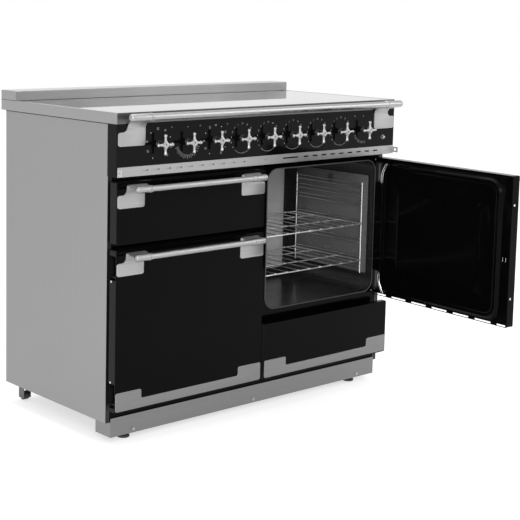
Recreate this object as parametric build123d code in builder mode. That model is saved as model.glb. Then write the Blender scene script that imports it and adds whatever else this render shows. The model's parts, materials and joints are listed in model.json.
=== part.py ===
"""Range cooker, 1100 mm class: two ovens, a grill, a storage drawer and an induction hob.

Millimetres.  X runs to the right across the front, the front faces -Y and Z is up.
The door faces lie in the plane Y = 0 and the floor is Z = 0.  The tall right oven
stands open in the rest pose; every other door and the drawer are closed.
"""

import os

from build123d import *

os.makedirs("parts", exist_ok=True)

# ---------------------------------------------------------------- driving dimensions
hob_half = 546.0
hob_depth = 558.0
hob_top = 905.0
hob_thickness = 30.0
hob_rim = 10.0
hob_wall = 2.0
hob_floor_flange = 13.5
hob_front_flange = 16.0
glass_ledge = 12.0
glass_recess = 5.0
glass_thickness = 4.4
glass_clearance = 0.4
upstand_depth = 77.0
upstand_height = 28.0

sheet = 1.5
fascia_sheet = 2.0
case_inset = 2.5
case_front = 40.5
case_rear_inset = 22.0
case_bottom = 62.0
case_flange = 14.0
tray_sheet = 2.5
divider_sheet = 2.0
right_wall_height = 112.5
left_wall_height = 36.5

rear_inset = 3.5
rear_pad_x = 270.0
rear_pad_half = 170.0
rear_pad_z = (180.0, 420.0)
rear_pad_rise = 2.5
rear_vent_pitch = 144.0
rear_vent_drop = 75.0
rear_vent_row = 24.0
supply_box_x = (330.0, 450.0)
supply_box_z = (610.0, 700.0)
supply_box_rise = 17.5
vent_count = 7
vent_half = 48.0
vent_height = 5.0

frame_post = 22.0
frame_head = 13.0
frame_sill = 9.0
frame_vent_pitch = 140.0
frame_vent_drop = 8.0
drawer_mouth_side = 5.0
drawer_mouth_sill = 5.0
drawer_mouth_head = 29.0

plinth_inset = 15.5
plinth_setback = 3.0
plinth_bottom = 20.0
plinth_lap = 11.0
plinth_return = 68.0
plinth_tab = 80.0
plinth_tab_gap = 68.0
plinth_tab_depth = 30.0
screw_inset = 78.0
screw_head = 4.4
screw_shank = 2.0
screw_clearance = 0.05
screw_rise = 1.2

foot_inset = 74.0
foot_radius = 18.0
foot_setback = 38.5
foot_height = 9.0
foot_stem = 5.0
foot_nut = 8.0
roller_inset = 57.5
roller_radius = 13.0
roller_half = 10.0
roller_pin = 3.0
roller_clearance = 0.08
roller_setback = 15.0
fork_half = 14.0
fork_cheek = 12.0
fork_sheet = 2.0
fork_depth = 13.0
fork_reach = 27.0

panel_inset = 1.0
panel_front = 1.0
panel_sheet = 2.0
panel_height = 114.0
trim_height = 26.0
knob_pitch = 100.7
knob_count = 9
knob_drop = 59.0
knob_reach = 27.0
knob_thickness = 9.0
knob_span = 57.0
knob_arm = 8.0
knob_boss = 18.5
knob_crown = 2.0
knob_stem_radius = 9.0
spindle_radius = 4.0
spindle_clearance = 0.08
spindle_length = 19.0
lamp_rise = 43.0
lamp_side = 43.5
last_lamp_side = 63.4
lamp_radius = 3.0
lamp_clearance = 0.05
button_inset = 52.0
button_drop = 27.0
button_radius = 4.5
button_clearance = 0.3
button_travel = 3.0
bezel_width = 3.2
ferrule_side = 2.0
ferrule_depth = 6.0

rail_y = -38.0
rail_drop = 11.0
rail_inset = 12.0
rail_radius = 9.5
rail_sleeve_radius = 10.5
rail_sleeve = 76.0
rail_plate_inset = 4.0
rail_plate_foot = 78.0
rail_plate_head = 41.0
rail_bend_drop = 34.0
rail_bend = 26.0

trim_front = -1.0
trim_back = 36.0
trim_ear = 20.0
trim_ear_foot = 4.5
trim_ear_head = 5.0
ear_hole = (14.0, 5.0)
ear_hole_rim = 4.5
slot_height = 4.0
slot_half = 10.0
slot_rows = ((-450.0, 39.0), (156.0, 38.0))
slot_counts = (10, 9)
long_slots = ((-52.0, -6.0), (61.0, 123.0))

door_spacing = 12.5
door_inset = 4.5
door_foot_gap = 25.0
door_head_gap = 14.0
door_row_gap = 15.0
drawer_gap = 20.0
grill_height = 166.0
oven_right_height = 438.0
door_depth = 28.0
skin = 2.0
door_corner = 3.0
drawer_front_depth = 18.0

plateau_margin_x = 34.0
plateau_margin_z = 13.5
plateau_rise = 6.0
plateau_corner = 45.0
plateau_taper = 68.0
emboss_margin_x = 70.5
emboss_margin_z = 87.5
emboss_depth = 1.5
emboss_corner = 20.0
air_slot_count = 6
air_slot_spacing = 24.0
air_slot_height = 5.0
air_slot_rise = 2.0
air_slot_inset = 3.5
end_slot_width = 31.0
end_slot_inset = 5.0
end_slot_spacing = 21.5
latch_inset = 19.0
latch_drop = 23.0
latch_half_width = 4.0
latch_half_height = 5.0
edge_screw_inset = 84.0
edge_screw_radius = 3.2
edge_screw_setback = 9.0

hinge_inset = 20.0
hinge_y = 14.0
hinge_pin_radius = 3.5
hinge_clearance = 0.05
hinge_band = 62.0
hinge_offset = 16.0
ear = 4.0
knuckle = 6.0
hinge_play = 3.0
leaf_sheet = 3.0
leaf_reach = 52.0
leaf_foot = 12.0
hinge_plate = 3.0
hinge_plate_inner = 4.0
hinge_plate_outer = 5.5
pocket_inner = 12.0
pocket_play = 2.0
grill_pin_rise = 12.0
grill_hinge_inset = 23.5
grill_lug_inset = 10.0
grill_lug_half = 2.0
rest_opening = 87.0

handle_y = -41.0
handle_drop = 16.0
handle_inset = 30.5
handle_radius = 8.0
handle_sleeve_radius = 9.2
handle_sleeve = 55.0
handle_nose = 5.0

grill_field_side = 50.0
grill_field_foot = 42.0
grill_field_head = 28.0

plate_thickness = 3.0
plate_width = 90.0
plate_margin = 2.0
neck_width = 60.0
plate_corner = 3.0
plate_foot_drop = 53.0
plate_head_drop = 18.0
bend_drop = 7.0
bend_radius = 14.0
foot_plate_rise = 4.0
foot_plate_pad = 52.0
foot_plate_band = 26.0

cavity_depth = 356.0
cavity_radius = 38.0
small_radius = 20.0
hinge_side_wall = 29.0
latch_side_wall = 39.0
cavity_rim = 11.0
cavity_flange = 15.0
left_cavity_wall = 39.5
left_cavity_rim = 32.0
grill_rim = 18.0
grill_cavity_depth = 336.0
gasket_width = 4.5
gasket_depth = 3.5
side_ledge_count = 5
side_ledge_rise = 70.0
side_ledge_head = 48.0
side_ledge_width = 9.0
side_ledge_sheet = 3.0
side_ledge_front = 26.0
side_ledge_back = 20.0
pan_lift = 27.0
pan_ledge = 18.0
pan_ledge_front = 16.0
pan_ledge_back = 20.0
pan_margin = 14.0
pan_front = 18.0
pan_back = 24.0
pan_depth = 40.0
pan_corner = 16.0

liner_gap = 5.5
liner_margin = 51.0
liner_front = 2.0
liner_back = 22.0
spacer_half = 5.0
spacer_front = 14.0
spacer_back = 18.0
spacer_low = 14.0
spacer_high = 20.0
lamp_hole_play = 3.0
lamp_glass_radius = 16.0
lamp_glass_depth = 12.0
lamp_setback = 178.0
lamp_liner_drop = 24.0
cover_margin = 48.0
cover_rim = 22.0
cover_gap = 2.5
cover_corner = 14.0
cover_foot_half = 6.0
cover_foot_side = 15.0
cover_foot_rise = 18.0
fan_slot_count = 12
fan_slot_circle = 52.0
fan_slot = (50.0, 7.0)
shelf_lift = 66.0
shelf_pitch = 29.45
shelf_levels = (0, 1, 3, 5, 7, 8, 9)
wire_pair = 12.0
ladder_wire = 2.8
ladder_rod = 5.6
ladder_gap = 2.7
ladder_front_gap = 37.0
ladder_back_gap = 31.0
ladder_hook_inset = 4.0
ladder_foot = 16.0
ladder_head = 10.0
wire_bite = 0.2
wire_overrun = 2.0
rack_wire = 3.6
rack_gap = 11.0
rack_bars = 9
element_wire = 6.5
element_side = 84.0
element_runs = 4
element_drop = 20.0
element_front_gap = 46.0
element_back_gap = 30.0
element_hanger_inset = 40.0

drawer_box_inset = 18.0
drawer_box_depth = 430.0
drawer_box_rise = 8.0
drawer_box_drop = 38.0
drawer_rail_drop = 16.0
drawer_rail = 12.0
slide_clearance = 0.3
slide_sheet = 3.0
slide_back_gap = 16.0
runner_width = 7.0
runner_front = 16.0

# ---------------------------------------------------------------- dimensions that follow
hob_bottom = hob_top - hob_thickness
ledge_z = hob_top - glass_recess
upstand_front = hob_depth - upstand_depth
case_half = hob_half - case_inset
case_back = hob_depth - case_rear_inset
fascia_front = case_front + sheet
fascia_back = fascia_front + fascia_sheet
tray_bottom = case_bottom + sheet
frame_half = case_half - sheet
plinth_half = case_half - plinth_inset
plinth_front = case_front - plinth_setback
plinth_top = case_bottom + plinth_lap
plinth_screw_z = plinth_bottom + plinth_lap
screw_xs = (screw_inset - plinth_half, 0.0, plinth_half - screw_inset)

foot_y = plinth_front + foot_setback
roller_x = case_half - roller_inset
roller_y = case_back - roller_setback

panel_half = hob_half - panel_inset
panel_floor = hob_bottom - panel_height
cheek_bottom = panel_floor - trim_height
knob_z = hob_bottom - knob_drop
knob_plane = panel_front - knob_reach
knob_xs = [knob_pitch * (k - (knob_count - 1) / 2) for k in range(knob_count)]
lamp_xs = [x + lamp_side for x in knob_xs[:3]] + [knob_xs[-2] + last_lamp_side]
lamp_z = knob_z + lamp_rise
button_x = panel_half - button_inset
button_z = knob_z - button_drop
rail_z = hob_top - rail_drop
rail_half = panel_half - rail_inset

left_edge = -case_half
door_width = (2 * case_half - door_spacing - door_inset) / 2
right_edge = left_edge + door_width + door_spacing
divider_x = right_edge - door_spacing / 2
oven_left_bottom = plinth_top + door_foot_gap
drawer_bottom = oven_left_bottom
grill_top = cheek_bottom - door_head_gap
grill_bottom = grill_top - grill_height
oven_left_top = grill_bottom - door_row_gap
oven_right_top = grill_top + 1.0
oven_right_bottom = oven_right_top - oven_right_height
drawer_top = oven_right_bottom - drawer_gap

cavity_left = right_edge + latch_side_wall
cavity_right = right_edge + door_width - hinge_side_wall
cavity_floor = oven_right_bottom + cavity_rim
cavity_roof = oven_right_top - cavity_rim
cavity_back = fascia_back + cavity_depth
right_cavity_box = (cavity_left, cavity_right, cavity_floor, cavity_roof)
left_cavity_left = left_edge + left_cavity_wall
left_cavity_right = left_edge + door_width - left_cavity_wall
left_cavity_floor = oven_left_bottom + left_cavity_rim
left_cavity_roof = oven_left_top - left_cavity_rim
left_cavity_box = (left_cavity_left, left_cavity_right, left_cavity_floor, left_cavity_roof)
side_ledge_low = left_cavity_floor + side_ledge_rise
side_ledge_top = left_cavity_roof - side_ledge_head
side_ledge_pitch = (side_ledge_top - side_ledge_low) / (side_ledge_count - 1)
grill_floor = grill_bottom + grill_rim
grill_roof = grill_top - grill_rim
grill_back = fascia_back + grill_cavity_depth
grill_cavity_box = (left_cavity_left, left_cavity_right, grill_floor, grill_roof)
gasket_front = fascia_front - gasket_depth

shelf_base = cavity_floor + shelf_lift
ladder_y = (fascia_back + ladder_front_gap, cavity_back - ladder_back_gap)
liner_right_x = cavity_right - liner_gap - sheet
liner_left_x = cavity_left + liner_gap + sheet
rack_front = ladder_y[0] - 15.0
rack_back = ladder_y[1] + 3.0

drawer_box_left = right_edge + drawer_box_inset
drawer_box_right = right_edge + door_width - drawer_box_inset
drawer_box_back = drawer_front_depth + drawer_box_depth
drawer_box_bottom = drawer_bottom + drawer_box_rise
drawer_box_top = drawer_top - drawer_box_drop
rail_low = (drawer_box_bottom + drawer_box_top) / 2 - drawer_rail_drop
rail_high = rail_low + drawer_rail


# ---------------------------------------------------------------- shared shapes
def slab(x0, x1, y0, y1, z0, z1, mode=Mode.ADD):
    """Rectangular block between two corner points."""
    with Locations(((x0 + x1) / 2, (y0 + y1) / 2, (z0 + z1) / 2)):
        Box(x1 - x0, y1 - y0, z1 - z0, mode=mode)


def face_plate(x0, x1, z0, z1, y0, y1, radius, mode=Mode.ADD):
    """Plate parallel to the front with rounded corners."""
    with BuildSketch(Plane.XZ.offset(-y1)) as outline:
        with Locations(((x0 + x1) / 2, (z0 + z1) / 2)):
            RectangleRounded(x1 - x0, z1 - z0, radius)
    extrude(outline.sketch, amount=y1 - y0, mode=mode)


def cut_corner_plate(x0, x1, z0, z1, y0, y1, corner):
    """Plate parallel to the front whose small corners are cut off."""
    with BuildSketch(Plane.XZ.offset(-y1)) as outline:
        with Locations(((x0 + x1) / 2, (z0 + z1) / 2)):
            Rectangle(x1 - x0, z1 - z0)
        chamfer(vertices(), length=corner)
    extrude(outline.sketch, amount=y1 - y0)


def peg(x, z, y0, y1, radius, mode=Mode.ADD):
    """Cylinder along Y between two depths."""
    with BuildSketch(Plane.XZ.offset(-y1)) as section:
        with Locations((x, z)):
            Circle(radius)
    extrude(section.sketch, amount=y1 - y0, mode=mode)


def post(x, y, z0, z1, radius, mode=Mode.ADD):
    """Upright cylinder."""
    with BuildSketch(Plane.XY.offset(z0)) as section:
        with Locations((x, y)):
            Circle(radius)
    extrude(section.sketch, amount=z1 - z0, mode=mode)


def axle(y, z, x0, x1, radius, mode=Mode.ADD):
    """Cylinder along X."""
    with BuildSketch(Plane.YZ.offset(x0)) as section:
        with Locations((y, z)):
            Circle(radius)
    extrude(section.sketch, amount=x1 - x0, mode=mode)


def stud(x, z, y0, y1, radius, sides, mode=Mode.ADD):
    """Prism along Y between two depths, with its flats at the given radius."""
    with BuildSketch(Plane.XZ.offset(-y1)) as section:
        with Locations((x, z)):
            RegularPolygon(radius=radius, side_count=sides, major_radius=False)
    extrude(section.sketch, amount=y1 - y0, mode=mode)


def side_stud(y, z, x0, x1, radius, sides):
    """Prism along X, with its flats at the given radius."""
    with BuildSketch(Plane.YZ.offset(min(x0, x1))) as section:
        with Locations((y, z)):
            RegularPolygon(radius=radius, side_count=sides, major_radius=False)
    extrude(section.sketch, amount=abs(x1 - x0))


def upright_stud(x, y, z0, z1, radius, sides):
    """Upright prism with its flats at the given radius."""
    with BuildSketch(Plane.XY.offset(z0)) as section:
        with Locations((x, y)):
            RegularPolygon(radius=radius, side_count=sides, major_radius=False)
    extrude(section.sketch, amount=z1 - z0)


def wire(start, end, size, across):
    """Square wire between two points, with two of its sides square to the across direction."""
    run = Vector(*end) - Vector(*start)
    with BuildSketch(Plane(origin=start, x_dir=across, z_dir=run)) as section:
        Rectangle(size, size)
    extrude(section.sketch, amount=run.length)


def shell_cavity(x0, x1, z0, z1, radius, back):
    """Enamelled sheet box, open to the front, with a fixing flange round its mouth."""
    slab(x0 - cavity_flange, x1 + cavity_flange, fascia_back, fascia_back + sheet,
         z0 - cavity_flange, z1 + cavity_flange)
    face_plate(x0 - sheet, x1 + sheet, z0 - sheet, z1 + sheet,
               fascia_back, back + sheet, radius + sheet)
    face_plate(x0, x1, z0, z1, fascia_back - 1, back, radius, mode=Mode.SUBTRACT)


def gasket_ring(x0, x1, z0, z1, radius):
    """Door gasket standing proud of the front frame round an oven mouth."""
    face_plate(x0 - gasket_width, x1 + gasket_width, z0 - gasket_width, z1 + gasket_width,
               gasket_front, fascia_front, radius + gasket_width)
    face_plate(x0, x1, z0, z1, gasket_front - 1, fascia_front + 1, radius, mode=Mode.SUBTRACT)


def door_pan(x0, z0, z1, bottom_open):
    """Pressed outer door skin with returned edges."""
    x1 = x0 + door_width
    floor = z0 - 1 if bottom_open else z0 + skin
    cut_corner_plate(x0, x1, z0, z1, 0, door_depth, door_corner)
    slab(x0 + skin, x1 - skin, skin, door_depth + 1, floor, z1 - skin, mode=Mode.SUBTRACT)


def air_slot(hinge_x, side, near, far, z0):
    """Slot through the lower flange of a door liner, measured from the hinge edge."""
    a = hinge_x + side * near
    b = hinge_x + side * far
    low = z0 + air_slot_rise
    slab(min(a, b), max(a, b), door_depth - skin - 1, door_depth + 1,
         low, low + air_slot_height, mode=Mode.SUBTRACT)


def oven_door_liner(x0, z0, z1, mirrored):
    """Inner door panel: raised plateau, embossed field, bottom air slots and latch slot."""
    hinge_x = x0 + door_width
    side = -1
    if mirrored:
        hinge_x = x0
        side = 1
    slab(x0 + skin, x0 + door_width - skin, door_depth - skin, door_depth, z0, z1 - skin)
    middle_x = x0 + door_width / 2
    middle_z = (z0 + z1) / 2
    half_w = door_width / 2 - plateau_margin_x
    half_h = (z1 - z0) / 2 - plateau_margin_z
    with BuildSketch(Plane.XZ.offset(-door_depth)) as foot:
        with Locations((middle_x, middle_z)):
            RectangleRounded(2 * half_w, 2 * half_h, plateau_corner)
    extrude(foot.sketch, amount=-plateau_rise, taper=plateau_taper)
    face_plate(middle_x - half_w + emboss_margin_x, middle_x + half_w - emboss_margin_x,
               middle_z - half_h + emboss_margin_z, middle_z + half_h - emboss_margin_z,
               door_depth + plateau_rise - emboss_depth, door_depth + plateau_rise + 1,
               emboss_corner, mode=Mode.SUBTRACT)
    end_slot = door_width - end_slot_inset - end_slot_width
    slot_run = end_slot - end_slot_spacing - air_slot_inset
    slot_pitch = (slot_run + air_slot_spacing) / air_slot_count
    for k in range(air_slot_count):
        near = air_slot_inset + slot_pitch * k
        air_slot(hinge_x, side, near, near + slot_pitch - air_slot_spacing, z0)
    air_slot(hinge_x, side, end_slot, end_slot + end_slot_width, z0)
    c = hinge_x + side * (door_width - latch_inset)
    latch_z = middle_z - latch_drop
    slab(c - latch_half_width, c + latch_half_width, door_depth - skin - 1, door_depth + 1,
         latch_z - latch_half_height, latch_z + latch_half_height, mode=Mode.SUBTRACT)


def bar_handle(x0, x1, y, z, radius, sleeve_radius, sleeve):
    """Bar handle with a thicker sleeve and a tapered nose at each end."""
    with BuildSketch(Plane.XY.offset(z)) as profile:
        with BuildLine():
            Polyline(
                (x0, y),
                (x0, y - sleeve_radius * 0.5),
                (x0 + handle_nose, y - sleeve_radius),
                (x0 + sleeve, y - sleeve_radius),
                (x0 + sleeve, y - radius),
                (x1 - sleeve, y - radius),
                (x1 - sleeve, y - sleeve_radius),
                (x1 - handle_nose, y - sleeve_radius),
                (x1, y - sleeve_radius * 0.5),
                (x1, y),
                close=True,
            )
        make_face()
    revolve(profile.sketch, axis=Axis((0, y, z), (1, 0, 0)))


def hook_bracket(outer_x, inner_x, z0, z1, face_y, bend_z, bend_radius, reach_y):
    """Plate with a neck whose top bends forward over the bar; outer_x is the far edge."""
    side = 1 if inner_x > outer_x else -1
    neck_x = inner_x - side * neck_width
    low_x = min(neck_x, inner_x)
    high_x = max(neck_x, inner_x)
    with BuildSketch(Plane.XZ.offset(-face_y)) as outline:
        with BuildLine():
            Polyline(
                (outer_x, z0),
                (inner_x, z0),
                (inner_x, bend_z),
                (neck_x, bend_z),
                (neck_x, z1),
                (outer_x, z1),
                close=True,
            )
        make_face()
        chamfer(vertices().filter_by(lambda corner: corner.Y < bend_z - 1), length=plate_corner)
    extrude(outline.sketch, amount=plate_thickness)
    with BuildSketch(Plane.YZ.offset(low_x)) as bend:
        with BuildLine():
            back = CenterArc((face_y - bend_radius, bend_z), bend_radius, 0, 90)
            shelf = Line(back @ 1, (reach_y, bend_z + bend_radius))
            drop = Line(shelf @ 1, (reach_y, bend_z + bend_radius - plate_thickness))
            under = Line(drop @ 1, (face_y - bend_radius, bend_z + bend_radius - plate_thickness))
            inner = CenterArc(
                (face_y - bend_radius, bend_z), bend_radius - plate_thickness, 90, -90)
            Line(inner @ 1, back @ 0)
        make_face()
    extrude(bend.sketch, amount=high_x - low_x)


def bottom_plate(edge, bottom):
    """U-shaped trim plate: a thin band with a raised pad at each end."""
    x0 = edge + plate_margin
    x1 = edge + door_width - plate_margin
    z0 = bottom + foot_plate_rise
    pad_z = z0 + foot_plate_pad
    band_z = z0 + foot_plate_band
    pad = plate_width - plate_margin
    with BuildSketch(Plane.XZ) as outline:
        with BuildLine():
            Polyline(
                (x0, z0),
                (x1, z0),
                (x1, pad_z),
                (x1 - pad, pad_z),
                (x1 - pad, band_z),
                (x0 + pad, band_z),
                (x0 + pad, pad_z),
                (x0, pad_z),
                close=True,
            )
        make_face()
        chamfer(vertices(), length=plate_corner)
    extrude(outline.sketch, amount=sheet)


def cross_knob(x):
    """Cross-shaped control knob with its spindle."""
    back = knob_plane + knob_thickness / 2
    front = knob_plane - knob_thickness / 2
    half = knob_arm / 2
    tip = knob_span / 2
    with BuildSketch(Plane.XZ.offset(-back)) as cross:
        with Locations((x, knob_z)):
            with PolarLocations(0, 4):
                Polygon(
                    (0, -half),
                    (tip - half, -half),
                    (tip, -half / 2),
                    (tip, half / 2),
                    (tip - half, half),
                    (0, half),
                    align=None,
                )
            Rectangle(knob_boss, knob_boss, rotation=45)
    extrude(cross.sketch, amount=knob_thickness)
    with BuildSketch(Plane.XZ.offset(-front)) as crown:
        with Locations((x, knob_z)):
            Rectangle(knob_boss - 5.0, knob_boss - 5.0, rotation=45)
    extrude(crown.sketch, amount=knob_crown)
    chamfer(faces().sort_by(Axis.Y)[0].edges(), length=knob_crown - 0.2)
    stud(x, knob_z, back, panel_front - 2.0, knob_stem_radius, 8)
    peg(x, knob_z, back, panel_front + panel_sheet + spindle_length, spindle_radius)


def ladder(wall_x, side):
    """Shelf ladder hooked on one side wall; side points from the wall into the oven."""
    rod_x = wall_x + side * (ladder_gap + ladder_rod / 2)
    wire_x = rod_x + side * (ladder_rod / 2 + ladder_wire / 2 - wire_bite)
    low = shelf_base - ladder_foot
    high = shelf_base + shelf_pitch * max(shelf_levels) + ladder_head
    for y in ladder_y:
        wire((rod_x, y, low), (rod_x, y, high), ladder_rod, (1, 0, 0))
        for z in (low + ladder_hook_inset, high - ladder_hook_inset):
            wire((min(rod_x, wall_x), y, z), (max(rod_x, wall_x), y, z), ladder_wire, (0, 1, 0))
    for level in shelf_levels:
        for step in (-wire_pair / 2, wire_pair / 2):
            z = shelf_base + shelf_pitch * level + step
            wire((wire_x, ladder_y[0] - wire_overrun, z), (wire_x, ladder_y[1] + wire_overrun, z),
                 ladder_wire, (1, 0, 0))


def wire_rack(x0, x1, z):
    """Oven rack: a perimeter wire with bars running front to back."""
    for x in (x0, x1):
        wire((x, rack_front, z), (x, rack_back, z), rack_wire, (1, 0, 0))
    for y in (rack_front + wire_overrun, rack_back - wire_overrun):
        wire((x0, y, z), (x1, y, z), rack_wire, (0, 1, 0))
    for k in range(1, rack_bars):
        x = x0 + (x1 - x0) * k / rack_bars
        wire((x, rack_front, z + 1.5), (x, rack_back, z + 1.5), ladder_wire, (1, 0, 0))


# ---------------------------------------------------------------- hinge lines
right_pin_x = right_edge + door_width - hinge_inset
left_pin_x = left_edge + hinge_inset
right_pin = Axis((right_pin_x, hinge_y, 0), (0, 0, 1))
grill_pin_z = grill_bottom + grill_pin_rise
grill_hinge_reach = door_width / 2 - grill_hinge_inset
oven_hinges = (
    (right_pin_x, oven_right_bottom, oven_right_top),
    (left_pin_x, oven_left_bottom, oven_left_top),
)


def hinge_centres(z0, z1):
    """Heights of the two hinges of a side-hung door."""
    half = hinge_band / 2 + hinge_offset
    return (z0 + half, z1 - half)


def hinge_pocket(pin_x, z, side):
    """Clear the door edge round one hinge."""
    outer = pin_x + side * (hinge_inset + 1)
    inner = pin_x - side * pocket_inner
    half = hinge_band / 2 + pocket_play
    slab(min(outer, inner), max(outer, inner), skin, door_depth + 8,
         z - half, z + half, mode=Mode.SUBTRACT)


def hinge_leaf(pin_x, z, side):
    """Door leaf: knuckle round the pin and a strap screwed behind the liner."""
    half = hinge_band / 2 - ear - hinge_play
    strap_end = pin_x - side * leaf_reach
    slab(pin_x - knuckle, pin_x + knuckle, hinge_y - knuckle, hinge_y + knuckle,
         z - half, z + half)
    slab(min(strap_end, pin_x), max(strap_end, pin_x), hinge_y - leaf_sheet / 2,
         hinge_y + leaf_sheet / 2, z - half, z + half)
    foot = strap_end + side * leaf_foot
    slab(min(strap_end, foot), max(strap_end, foot), hinge_y, door_depth - skin,
         z - half, z + half)
    post(pin_x, hinge_y, z - half - 1, z + half + 1, hinge_pin_radius + hinge_clearance,
         mode=Mode.SUBTRACT)


# ---------------------------------------------------------------- case and chassis
with BuildPart() as side_panel_left:
    slab(-case_half, -case_half + sheet, case_front, case_back, case_bottom, hob_bottom)
    slab(-case_half, -case_half + case_flange, case_front, case_front + sheet,
         case_bottom, hob_bottom)
    slab(-case_half, -case_half + case_flange, case_back - sheet, case_back,
         case_bottom, hob_bottom)
    slab(-case_half, -case_half + case_flange, case_front, case_back,
         case_bottom, case_bottom + sheet)
side_panel_left.part.label = "side_panel_left"
export_step(side_panel_left.part, "parts/side_panel_left.step")

with BuildPart() as side_panel_right:
    slab(case_half - sheet, case_half, case_front, case_back, case_bottom, hob_bottom)
    slab(case_half - case_flange, case_half, case_front, case_front + sheet,
         case_bottom, hob_bottom)
    slab(case_half - case_flange, case_half, case_back - sheet, case_back,
         case_bottom, hob_bottom)
    slab(case_half - case_flange, case_half, case_front, case_back,
         case_bottom, case_bottom + sheet)
side_panel_right.part.label = "side_panel_right"
export_step(side_panel_right.part, "parts/side_panel_right.step")

with BuildPart() as rear_panel:
    rear_half = case_half - rear_inset
    outside = case_back + sheet
    slab(-rear_half, rear_half, case_back, outside, case_bottom, hob_bottom)
    for x in (-rear_pad_x, rear_pad_x):
        slab(x - rear_pad_half, x + rear_pad_half, outside, outside + rear_pad_rise, *rear_pad_z)
    for row in range(2):
        z = hob_bottom - rear_vent_drop + rear_vent_row * row
        for k in range(vent_count):
            x = rear_vent_pitch * (k - (vent_count - 1) / 2)
            slab(x - vent_half, x + vent_half, case_back - 1, outside + 1, z, z + vent_height,
                 mode=Mode.SUBTRACT)
    slab(*supply_box_x, outside, outside + supply_box_rise, *supply_box_z)
rear_panel.part.label = "rear_panel"
export_step(rear_panel.part, "parts/rear_panel.step")

with BuildPart() as chassis_frame:
    rear = case_back - sheet
    slab(-frame_half, frame_half, fascia_back, rear, tray_bottom, tray_bottom + tray_sheet)
    slab(divider_x - divider_sheet / 2, divider_x + divider_sheet / 2, fascia_back, rear,
         tray_bottom, hob_bottom)
    slab(frame_half - divider_sheet, frame_half, fascia_back, rear,
         tray_bottom, tray_bottom + right_wall_height)
    slab(-frame_half, -frame_half + divider_sheet, fascia_back, rear,
         tray_bottom, tray_bottom + left_wall_height)
    slide_back = case_back - slide_back_gap
    under = rail_low - slide_clearance
    over = rail_high + slide_clearance
    for z0, z1 in ((under - slide_sheet, under), (over, over + slide_sheet)):
        slab(divider_x, drawer_box_left - 1, fascia_back, slide_back, z0, z1)
        slab(drawer_box_right + 1, frame_half, fascia_back, slide_back, z0, z1)
chassis_frame.part.label = "chassis_frame"
export_step(chassis_frame.part, "parts/chassis_frame.step")

with BuildPart() as plinth:
    slab(-plinth_half, plinth_half, plinth_front, plinth_front + sheet, plinth_bottom, plinth_top)
    for side in (-1, 1):
        a = side * plinth_half
        b = side * (plinth_half - sheet)
        slab(min(a, b), max(a, b), plinth_front, plinth_front + plinth_return,
             plinth_bottom, case_bottom)
        c = side * (plinth_half - plinth_tab)
        slab(min(a, c), max(a, c), plinth_front, plinth_front + plinth_tab_depth,
             tray_bottom - 2 * sheet, tray_bottom - sheet)
    tab_half = plinth_half - plinth_tab - plinth_tab_gap
    slab(-tab_half, tab_half, plinth_front, plinth_front + plinth_tab_depth,
         tray_bottom - sheet, tray_bottom)
    for x in screw_xs:
        stud(x, plinth_screw_z, plinth_front - 1, plinth_front + 3,
             screw_shank + screw_clearance, 6, mode=Mode.SUBTRACT)
plinth.part.label = "plinth"
export_step(plinth.part, "parts/plinth.step")

with BuildPart() as case_screws:
    for x in screw_xs:
        stud(x, plinth_screw_z, plinth_front - 2.2, plinth_front, screw_head, 8)
        stud(x, plinth_screw_z, plinth_front - 1, plinth_front + 9, screw_shank, 6)
        slab(x - 3.2, x + 3.2, plinth_front - 3, plinth_front - 1.4,
             plinth_screw_z - 0.5, plinth_screw_z + 0.5, mode=Mode.SUBTRACT)
case_screws.part.label = "case_screws"
export_step(case_screws.part, "parts/case_screws.step")

with BuildPart() as front_feet:
    for x in (foot_inset - plinth_half, plinth_half - foot_inset):
        upright_stud(x, foot_y, 0.0, foot_height, foot_radius, 16)
        upright_stud(x, foot_y, foot_height, tray_bottom, foot_stem, 8)
        upright_stud(x, foot_y, tray_bottom - foot_nut, tray_bottom, foot_nut, 6)
front_feet.part.label = "front_feet"
export_step(front_feet.part, "parts/front_feet.step")

with BuildPart() as roller_forks:
    for x in (-roller_x, roller_x):
        slab(x - fork_half, x + fork_half, roller_y - fork_reach, roller_y + fork_depth,
             tray_bottom - fork_sheet, tray_bottom)
        for c in (x - fork_cheek, x + fork_cheek):
            slab(c - fork_sheet / 2, c + fork_sheet / 2, roller_y - fork_depth,
                 roller_y + fork_depth, roller_radius / 2, tray_bottom - fork_sheet / 2)
        pin_half = fork_cheek + fork_sheet / 2
        axle(roller_y, roller_radius, x - pin_half, x + pin_half, roller_pin)
roller_forks.part.label = "roller_forks"
export_step(roller_forks.part, "parts/roller_forks.step")


def roller(x):
    """Plain rear wheel turning on the fork pin."""
    side_stud(roller_y, roller_radius, x - roller_half, x + roller_half, roller_radius, 24)
    axle(roller_y, roller_radius, x - roller_half - 1, x + roller_half + 1,
         roller_pin + roller_clearance, mode=Mode.SUBTRACT)


with BuildPart() as roller_left:
    roller(-roller_x)
roller_left.part.label = "roller_left"
export_step(roller_left.part, "parts/roller_left.step")

with BuildPart() as roller_right:
    roller(roller_x)
roller_right.part.label = "roller_right"
export_step(roller_right.part, "parts/roller_right.step")

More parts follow.
